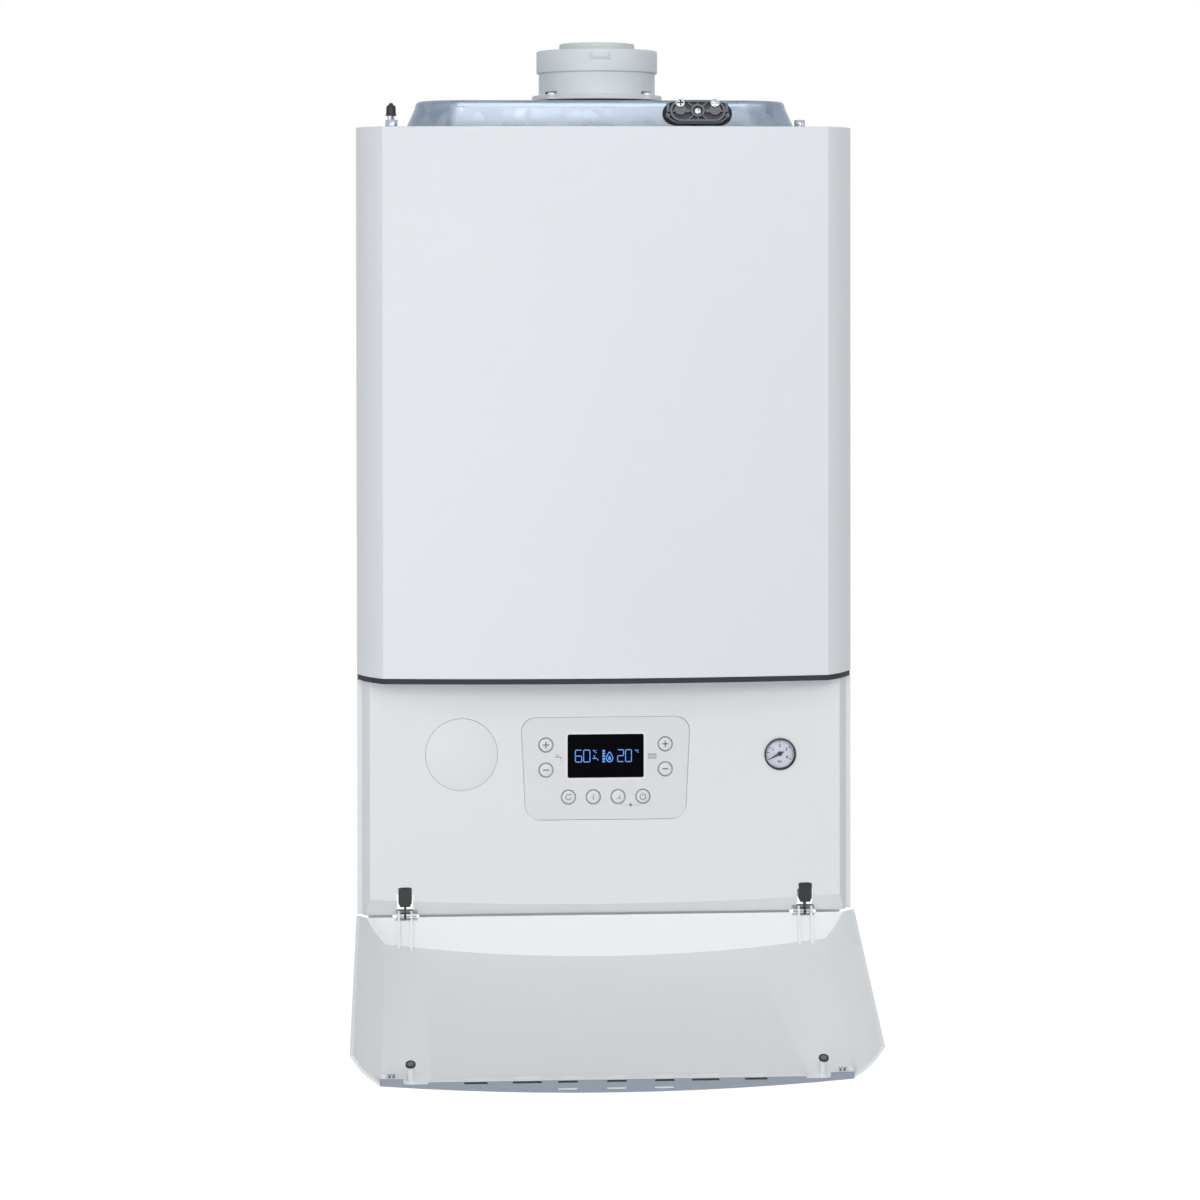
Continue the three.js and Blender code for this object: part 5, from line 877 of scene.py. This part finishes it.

# %% [markdown]
# ## Pressure gauge
# The case is a black turned cup with a rounded bezel. The dial carries ticks from zero to four
# bar over 235 degrees and plain numbers, and the needle rests at zero under a clear lens. The
# numbers are text turned into mesh, so that nothing depends on a font.

# %% Gauge case, dial and lens
low, high = spot("gauge_case")
GAUGE_X, GAUGE_Z = (low.x + high.x) / 2, (low.z + high.z) / 2
FASCIA_FACE = -278.0
rim, back = low.y, high.y
dial_front, dial_back = (corner.y for corner in spot("gauge_dial"))
lens_front, lens_back = (corner.y for corner in spot("gauge_lens"))
DIAL_RADIUS = 11.7
gauge_profiles = {
    "gauge_case": ("black_plastic", [
        (0, back), (12.2, back), (12.2, FASCIA_FACE - 0.3), (13.2, FASCIA_FACE - 0.3),
        (13.2, rim + 0.5), (13.05, rim + 0.12), (12.75, rim), (12.35, rim + 0.05),
        (12.1, rim + 0.3), (11.9, rim + 0.9), (11.8, rim + 4.9), (0, rim + 4.9)]),
    "gauge_dial": ("dial_white", [
        (1.1, dial_front), (DIAL_RADIUS, dial_front), (DIAL_RADIUS, dial_back), (1.1, dial_back)]),
    "gauge_lens": ("gauge_lens", [
        (0, lens_back), (DIAL_RADIUS, lens_back), (DIAL_RADIUS, lens_front + 0.35),
        (8.0, lens_front + 0.12), (4.0, lens_front + 0.03), (0, lens_front)]),
}
for name, (finish, profile) in gauge_profiles.items():
    remade(name, [turned(profile, GAUGE_X, GAUGE_Z, "Y")], finish)
print("gauge centre:", round(GAUGE_X, 1), round(GAUGE_Z, 1))

# %% Dial print


def lettering(text, size, x, z, near, far):
    """Upright text in the front view, centred on x, z, as solid letters."""
    curve = bpy.data.curves.new("letters", "FONT")
    curve.body = text
    curve.size = size
    curve.align_x = curve.align_y = "CENTER"
    curve.extrude = abs(near - far) / 2
    curve.offset = 0.03 * size
    curve.resolution_u = 4
    holder = bpy.data.objects.new("letters", curve)
    scene.collection.objects.link(holder)
    mesh = baked(holder)
    bpy.data.objects.remove(holder)
    middle = (near + far) / 2
    points = [(x + v.co.x, middle - v.co.z, z + v.co.y) for v in mesh.vertices]
    return points, [tuple(polygon.vertices) for polygon in mesh.polygons]


ZERO_ANGLE, FULL_ANGLE, FULL_BAR = 207.5, -27.5, 4
TICK_END, NUMBER_CIRCLE = 10.9, 6.5
ink_near, ink_far = dial_front + 0.02, dial_front - 0.05


def on_dial(value, distance):
    """The point for a pressure in bar, at a distance from the needle's hub."""
    degrees = ZERO_ANGLE + (FULL_ANGLE - ZERO_ANGLE) * value / FULL_BAR
    return polar(distance, degrees, GAUGE_X, GAUGE_Z)


def tick(value, inner, width):
    return bar(*on_dial(value, inner), *on_dial(value, TICK_END), width)


ticks = [tick(v, 8.5, 0.55) for v in range(FULL_BAR + 1)]
ticks += [tick(v / 5, 9.9, 0.3) for v in range(5 * FULL_BAR + 1) if v % 5]
ticks += [band(GAUGE_X, GAUGE_Z, 10.75, 10.95, FULL_ANGLE, ZERO_ANGLE, 60)]
letters = [lettering(str(v), 3.6, *on_dial(v, NUMBER_CIRCLE), ink_near, ink_far)
           for v in range(1, FULL_BAR + 1)]
letters.append(lettering("bar", 2.8, GAUGE_X, GAUGE_Z - 6.4, ink_near, ink_far))
piece("dial_print", [prism(ticks, ink_near, ink_far)] + letters, "print_black")
piece("dial_red_mark", [prism([tick(0.55, 8.0, 0.6)], ink_near, ink_far - 0.02)], "print_red")
print("ticks:", len(ticks))

# %% Needle
NEEDLE_REACH, NEEDLE_TAIL = 9.6, 3.5
needle_front = spot("gauge_needle")[0].y
blade_front = dial_front - 1.1
c, s = polar(1, ZERO_ANGLE)
half = [(NEEDLE_REACH, 0.28), (0, 0.95), (0.3 - NEEDLE_TAIL, 0.6), (-NEEDLE_TAIL, 0.4)]
half += [(distance, -side) for distance, side in reversed(half)]
blade = [(GAUGE_X + distance * c - side * s, GAUGE_Z + distance * s + side * c)
         for distance, side in half]
hub = [(0, dial_back - 0.7), (0.8, dial_back - 0.7), (0.8, dial_front - 0.6),
       (1.9, dial_front - 0.6), (1.9, needle_front + 0.4), (1.4, needle_front + 0.05),
       (0, needle_front)]
needle = [prism([[blade]], blade_front, blade_front + 0.5),
          turned(hub, GAUGE_X, GAUGE_Z, "Y", 40)]
remade("gauge_needle", needle, "black_plastic")
print("needle at zero:", ZERO_ANGLE, "degrees")

# %% [markdown]
# ## Door's catches
# The free end of the door carries a small magnet disc on a post at each side, a spring clip on
# each tab, and a pale buffer. They are drawn with the door closed, where they are square to the
# axes, and then swung open about the hinge with the door's own matrix. The slots of the trim are
# the CAD's own; black blocks behind them are painted shade, and white blocks in three of them are
# painted light.

# %% The door's opening and its small parts
DOOR_OPEN = 111.5
PIVOT = (0.0, PIN_Y, PIN_Z)
opened = (Matrix.Translation(PIVOT) @ Matrix.Rotation(math.radians(DOOR_OPEN), 4, "X")
          @ Matrix.Translation([-v for v in PIVOT]))
CATCH_X, CATCH_Z, CATCH_FACE = 158.8, -422.5, -278.6
TAB_X, TAB_Y, TAB_Z, SPRING_STEPS = 173.3, -287.6, -418.9, 40


def wire(points, radius, count=10):
    """A bent wire: a tube of `radius` that follows the points."""
    rings = []
    for i, point in enumerate(points):
        way = Vector(points[min(i + 1, len(points) - 1)]) - Vector(points[max(i - 1, 0)])
        first = (way.orthogonal() if i == 0 else first - first.project(way)).normalized()
        second = way.normalized().cross(first)
        turns = [math.tau * k / count for k in range(count)]
        rings.append([Vector(point) + radius * (math.cos(a) * first + math.sin(a) * second)
                      for a in turns])
    tube, faces = lofted(rings, closed=False)
    ends = [tuple(range(count)), tuple(range(len(tube) - count, len(tube)))]
    return tube, faces + ends


catch = [(radius, CATCH_FACE + depth) for radius, depth in (
    (1.9, -2), (3.9, -2), (3.9, -0.35), (3.6, 0), (3.0, 0), (2.7, -0.5), (1.9, -0.5))]
magnet = [(radius, CATCH_FACE + depth) for radius, depth in (
    (0, -2), (2.6, -2), (2.6, -0.5), (2.2, -0.3), (0, -0.3))]
for side, sign in SIDES:
    x = sign * CATCH_X
    remade("catch_disc_" + side, [turned(catch, x, CATCH_Z, "Y", 48)], "black_plastic",
           place=opened)
    piece("catch_magnet_" + side, [turned(magnet, x, CATCH_Z, "Y", 40)], "grey_plastic", "door",
          place=opened)
    loops = []
    for k in range(SPRING_STEPS + 1):
        t = k / SPRING_STEPS
        loops.append((sign * TAB_X + 3.2 * (2 * t - 1) + 1.3 * math.sin(4 * math.pi * t),
                      TAB_Y + 1.5 * math.cos(4 * math.pi * t), TAB_Z - 0.25 * t))
    piece("tab_spring_" + side, [wire(loops, 0.42)], "spring_steel", "door", place=opened)
    buffer = block(sign * 181.6, sign * 177.6, -290.2, -286.0, -421.4, -417.4)
    piece("tab_buffer_" + side, [buffer], "pale_frame", "door", place=opened, edge=0.4)
print("door catches at x", CATCH_X)

# %% Slots of the door's trim, with painted shade and painted light
CREASE_DEPTH, LEDGE_HALF = -295.0, 143.0
SLOT_FOOT, SLOT_HEAD = -417.6, -416.35
SLOT_SHARES = ((-0.826, -0.697), (-0.566, -0.408), (-0.322, -0.215), (-0.06, 0.048),
               (0.198, 0.306), (0.397, 0.548), (0.683, 0.806))
slots = [(a * LEDGE_HALF + 0.3, b * LEDGE_HALF - 0.3) for a, b in SLOT_SHARES]
# Painted shade: black blocks behind the trim's slots, which are dark only by shade.
shadows = [block(a, b, CREASE_DEPTH + 0.85, CREASE_DEPTH + 1.9, SLOT_FOOT, SLOT_HEAD)
           for a, b in slots]
piece("trim_slot_painted_shade", shadows, "print_black", "door", place=opened)
# Painted light: white blocks in three slots stand for the lit white wall seen through them.
painted_light_panes = [block(a, b, CREASE_DEPTH - 5.8, CREASE_DEPTH - 4.2, SLOT_FOOT + 0.1, SLOT_HEAD + 0.05)
           for a, b in slots[2:5]]
piece("trim_slot_painted_light", painted_light_panes, "white_plastic", "door", place=opened)
print("trim slots:", len(slots))

# %% [markdown]
# ## Chamber hood
# The combustion chamber's hood is drawn from galvanised sheet: tapered walls, wide corners, a
# rolled upper edge and a flat foot. It is lofted through rounded rectangles of equal point count,
# up over the top, in through the flue's hole and back down inside.

# %% Hood
HOOD_Y, HOOD_WIDTH, HOOD_LENGTH, HOOD_CORNER = -148.0, 330.0, 206.0, 42.0
HOOD_BOTTOM, HOOD_TOP = 38.8, 64.0


def plan_ring(grow, z, corner=None):
    """A rounded rectangle in plan, grown by `grow` on every side."""
    radius = HOOD_CORNER + grow / 2 if corner is None else corner
    w, d = HOOD_WIDTH / 2 + grow - radius, HOOD_LENGTH / 2 + grow - radius
    points = []
    for quarter, (sx, sy) in enumerate(((1, -1), (1, 1), (-1, 1), (-1, -1))):
        for k in range(25):
            degrees = 90 * (quarter - 1 + k / 24)
            points.append((*polar(radius, degrees, sx * w, HOOD_Y + sy * d), z))
    return points


def hole_ring(radius, z):
    """The flue's hole, with a point on the line from its centre to each of the plan's points."""
    angles = [math.atan2(y - HOOD_Y, x) for x, y, _ in plan_ring(0, z)]
    return [(radius * math.cos(a), HOOD_Y + radius * math.sin(a), z) for a in angles]


SHEET, FOOT_CORNER, HOLE_RADIUS = 1.2, 49, 44.6
ROLL_START, ROLL_LEVEL, ROLL_STEPS = -8.0, 59.6, 6
outer_rings = [plan_ring(7, HOOD_BOTTOM + rise, FOOT_CORNER) for rise in (0, SHEET)]
outer_rings += [plan_ring(grow, z) for grow, z in (
    (1.0, HOOD_BOTTOM + SHEET), (0.2, HOOD_BOTTOM + 1.6), (-0.4, HOOD_BOTTOM + 2.6),
    (-7.4, 57.4), (ROLL_START, ROLL_LEVEL))]
for k in range(1, ROLL_STEPS + 1):
    a = math.pi / 2 * k / ROLL_STEPS
    outer_rings.append(plan_ring(ROLL_START - 4.2 * (1 - math.cos(a)),
                                 ROLL_LEVEL + 4.4 * math.sin(a)))
inner_rings = [hole_ring(HOLE_RADIUS, HOOD_TOP), hole_ring(HOLE_RADIUS, HOOD_TOP - SHEET),
               plan_ring(-13.4, HOOD_TOP - SHEET), plan_ring(-9.4, 59.0),
               plan_ring(-1.2, HOOD_BOTTOM)]
remade("chamber_hood", [lofted(outer_rings + inner_rings)], "galvanised", angle=40)
print("hood rings:", len(outer_rings) + len(inner_rings))

# %% [markdown]
# ## Flue connection
# The outer collar of a 60/100 flue is a plastic moulding: a flange with four lugs, a body, and a
# bell with a small framed tab at the front. It is one turned profile with the lugs as discs, and
# its two low slits are cut through with a Boolean.

# %% Flue collar and pipe
flange_low, flange_high, FLUE_Y = 67.1, 71.4, HOOD_Y
BELL_RADIUS, LUG_CIRCLE, SPIGOT_HEAD = 52.5, 57.4, 72.1
collar = [
    (48.4, flange_low), (56.0, flange_low), (56.4, flange_low + 0.4), (56.4, flange_high - 0.9),
    (56.1, flange_high - 0.25), (55.4, flange_high), (51.2, flange_high),
    (50.6, flange_high + 0.3), (50.4, flange_high + 1.0), (50.4, 89.6), (50.6, 90.3),
    (51.9, 90.9), (52.4, 91.4), (BELL_RADIUS, 92.2), (BELL_RADIUS, 108.8), (52.3, 109.5),
    (51.8, 110.0), (50.9, 110.0), (50.5, 109.6), (50.5, 91.5), (48.4, 89.5),
]
slits = [block(s * 36.5, s * 45.5, -200, -165, 72.0, 74.4) for s in (-1, 1)]
remade("flue_adapter", [turned(collar, 0, FLUE_Y, "Z", 128)], "flue_plastic", angle=32,
       less=slits)
lug = [(0, flange_low), (5, flange_low), (5, flange_high - 0.8), (4.2, flange_high - 0.02),
       (0, flange_high - 0.02)]
for k, degrees in enumerate((45, 135, 225, 315)):
    x, y = polar(LUG_CIRCLE, degrees, 0, FLUE_Y)
    piece(f"flue_lug_{k + 1}", [turned(lug, x, y, "Z", 40)], "flue_plastic")
    screw(f"flue_screw_{k + 1}", 3.4, 1.8, seat(x, y, flange_high, 90))
spigot = [(32.9, flange_low), (34.9, flange_low), (34.9, SPIGOT_HEAD), (32.9, SPIGOT_HEAD)]
webs = [turned(spigot, 0, FLUE_Y)]
for degrees in (90, 210, 330):
    c, s = polar(1, degrees)
    points, faces = block(34.0, 49.2, -1, 1, flange_low, SPIGOT_HEAD)
    webs.append(([(c * x - s * y, FLUE_Y + s * x + c * y, z) for x, y, z in points], faces))
piece("flue_webs", webs, "flue_plastic")
pipe = [(30.8, 62.3), (32.6, 62.3), (32.6, 115.7), (32.3, 116.2), (31.9, 116.5), (31.3, 116.5),
        (30.8, 116.1)]
remade("flue_inner_pipe", [turned(pipe, 0, FLUE_Y, "Z", 128)], "flue_plastic", angle=40)
seal = [(45.6, 64.3), (52, 64.3), (52.2, 65.4), (52, 66.5), (45.6, 66.5)]
remade("flue_gasket", [turned(seal, 0, FLUE_Y)], "rubber")
refined("flue_duct", "cast_aluminium", 0.3)
print("flue height:", round(spot("flue_inner_pipe")[1].z, 1), "mm")

# %% Flue tab
TAB_FACE = FLUE_Y - BELL_RADIUS
u_frame = [(-8.6, 107.0), (-8.6, 101.6), (8.6, 101.6), (8.6, 107.0), (7.2, 107.0), (7.2, 103.0),
           (-7.2, 103.0), (-7.2, 107.0)]
piece("flue_tab", [prism([[u_frame]], TAB_FACE - 1.1, TAB_FACE + 2.2)], "flue_plastic", edge=0.3)
piece("flue_tab_pad", [block(-7.0, 7.0, TAB_FACE - 0.5, TAB_FACE + 2.0, 103.2, 106.6)],
      "flue_plastic", edge=0.3)
print("flue tab at y", TAB_FACE)

# %% [markdown]
# ## Inlet cover
# A cover of grey plastic closes the air inlet on the hood's sloping front. It is a shallow tray
# with a central boss, ribs and two screwed bosses, drawn flat about its own centre and tipped
# back to lie on the slope.

# %% Inlet gasket and cover
INLET_TILT = math.degrees(math.atan2(8, 20.2))  # the hood's slope: 8 mm back in 20.2 mm of rise
BOSS_X, TRAY_WIDTH, TRAY_HEIGHT = 14.5, 46.4, 19.4
inlet = seat(79.0, -245.94, 52.4, INLET_TILT)


def stadium(width, height, grow=0.0):
    w, h = width / 2 + grow, height / 2 + grow
    return arc(w - h, 0, h, -90, 90, 20) + arc(h - w, 0, h, 90, 270, 20)


remade("inlet_gasket", [prism([[stadium(58.2, 20.6)]], -1.6, 0)], "rubber", place=inlet,
       edge=0.3)
COVER_BACK, COVER_FRONT = -1.9, -6.9
tray = prism([[stadium(TRAY_WIDTH, TRAY_HEIGHT)]], -4.2, COVER_BACK)
# The tray's darker grey is painted shade in the cover's recess between the ribs.
piece("inlet_tray", [tray], "dark_recess", place=inlet, edge=0.3)
ribs = []
for k in range(8):
    c, s = polar(1, 45 * k)
    reach = (21.6, 11.4, 8.6, 11.4)[k % 4]
    ribs.append(bar(4.8 * c, 4.8 * s, reach * c, min(max(reach * s, -8.6), 8.6), 1.3))
rails = [[stadium(TRAY_WIDTH, TRAY_HEIGHT), stadium(TRAY_WIDTH, TRAY_HEIGHT, -1.7)]]
cover_parts = [
    prism(rails, COVER_FRONT, COVER_BACK), prism(ribs, COVER_FRONT + 0.7, -4.0),
    prism([ring(0, 0, 4.1, 5.8, 48)], COVER_FRONT - 0.6, -4.0),
    prism([[disc(s * BOSS_X, 1.2, 4.9, 40)] for s in (-1, 1)], COVER_FRONT + 0.3, -4.0),
    prism([[disc(s * 8.3, 0, 1.7, 20)] for s in (-1, 1)], COVER_FRONT + 0.2, -4.0),
]
remade("inlet_cover", cover_parts, "grey_plastic", place=inlet, edge=0.25)
lip = arc(15.2, 1.4, 11.6, -90, -12, 14) + arc(15.2, 1.4, 10.2, -12, -90, 14)
lip += arc(-15.2, 1.4, 10.2, -90, -168, 14) + arc(-15.2, 1.4, 11.6, -168, -90, 14)
piece("inlet_lip", [prism([[lip]], -4.6, -1.7)], "grey_plastic", place=inlet, edge=0.25)
lugs = [prism([[disc(s * 24.8, -3.6, 1.9, 24)] for s in (-1, 1)], -5.2, -1.7),
        prism([[panel(s * 24.6, 4.0, 2.6, 8.4, 1.0)] for s in (-1, 1)], -4.4, -1.7)]
piece("inlet_lugs", lugs, "grey_plastic", place=inlet, edge=0.3)
screw("inlet_screw_middle", 3.1, 1.6, inlet @ seat(0, -6.0, -0.3))
for side, sign in SIDES:
    screw("inlet_screw_" + side, 4.1, 2.2, inlet @ seat(sign * BOSS_X, -6.7, 6.4))
print("inlet tilt:", round(INLET_TILT, 1), "degrees")

# %% [markdown]
# ## Charging valve and clips
# The expansion vessel's valve comes through the top panel with a hexagon, a plated stem and a
# black dust cap, which is domed with a small button on top and flares at its mouth.

# %% Valve, cap and the hood's clips
refined("charge_valve", "nickel", 0.5)
valve_low, valve_high = spot("charge_cap")
VALVE_X, VALVE_Y = (valve_low.x + valve_high.x) / 2, (valve_low.y + valve_high.y) / 2
mouth, crown = valve_low.z, valve_high.z
cap = [(3.6, mouth), (4.9, mouth), (4.9, mouth + 0.9), (4.6, mouth + 1.4), (4.45, mouth + 4.0),
       (4.3, crown - 4.0), (4.0, crown - 3.0), (3.2, crown - 2.2), (2.2, crown - 1.7),
       (1.9, crown - 1.2), (1.7, crown - 0.5), (1.1, crown - 0.05), (0, crown),
       (0, crown - 4.5), (3.6, crown - 5.5)]
remade("charge_cap", [turned(cap, VALVE_X, VALVE_Y, "Z", 64)], "black_plastic", angle=50)
CLIP_X, CLIP_Y, CLIP_Z = 177, -154, 46.4
for side, sign in SIDES:
    screw("clip_screw_" + side, 3.2, 2.0, seat(sign * CLIP_X, CLIP_Y, CLIP_Z))
print("valve at", round(VALVE_X, 1), round(VALVE_Y, 1))

# %% [markdown]
# ## Inside
# The parts behind the cover are seen only when it is off. The CAD solids have their true forms,
# so rounded edges and a finish for each are enough.

# %% Inside
inside = {
    "expansion_vessel": "red_paint", "heat_exchanger": "cast_aluminium",
    "burner_door": "cast_aluminium", "fan_housing": "cast_aluminium",
    "fan_impeller": "black_plastic", "gas_valve": "cast_aluminium", "gas_pipe": "steel",
    "gas_tail": "steel", "flow_pipe": "copper", "return_pipe": "copper", "pump_body": "brass",
    "pump_impeller": "black_plastic", "diverter_body": "brass", "diverter_spindle": "steel",
    "relief_knob": "red_paint", "plate_exchanger": "steel", "condensate_trap": "grey_plastic",
}
for name, finish in inside.items():
    refined(name, finish, 0.5)
print("pieces in all:", len(pieces))
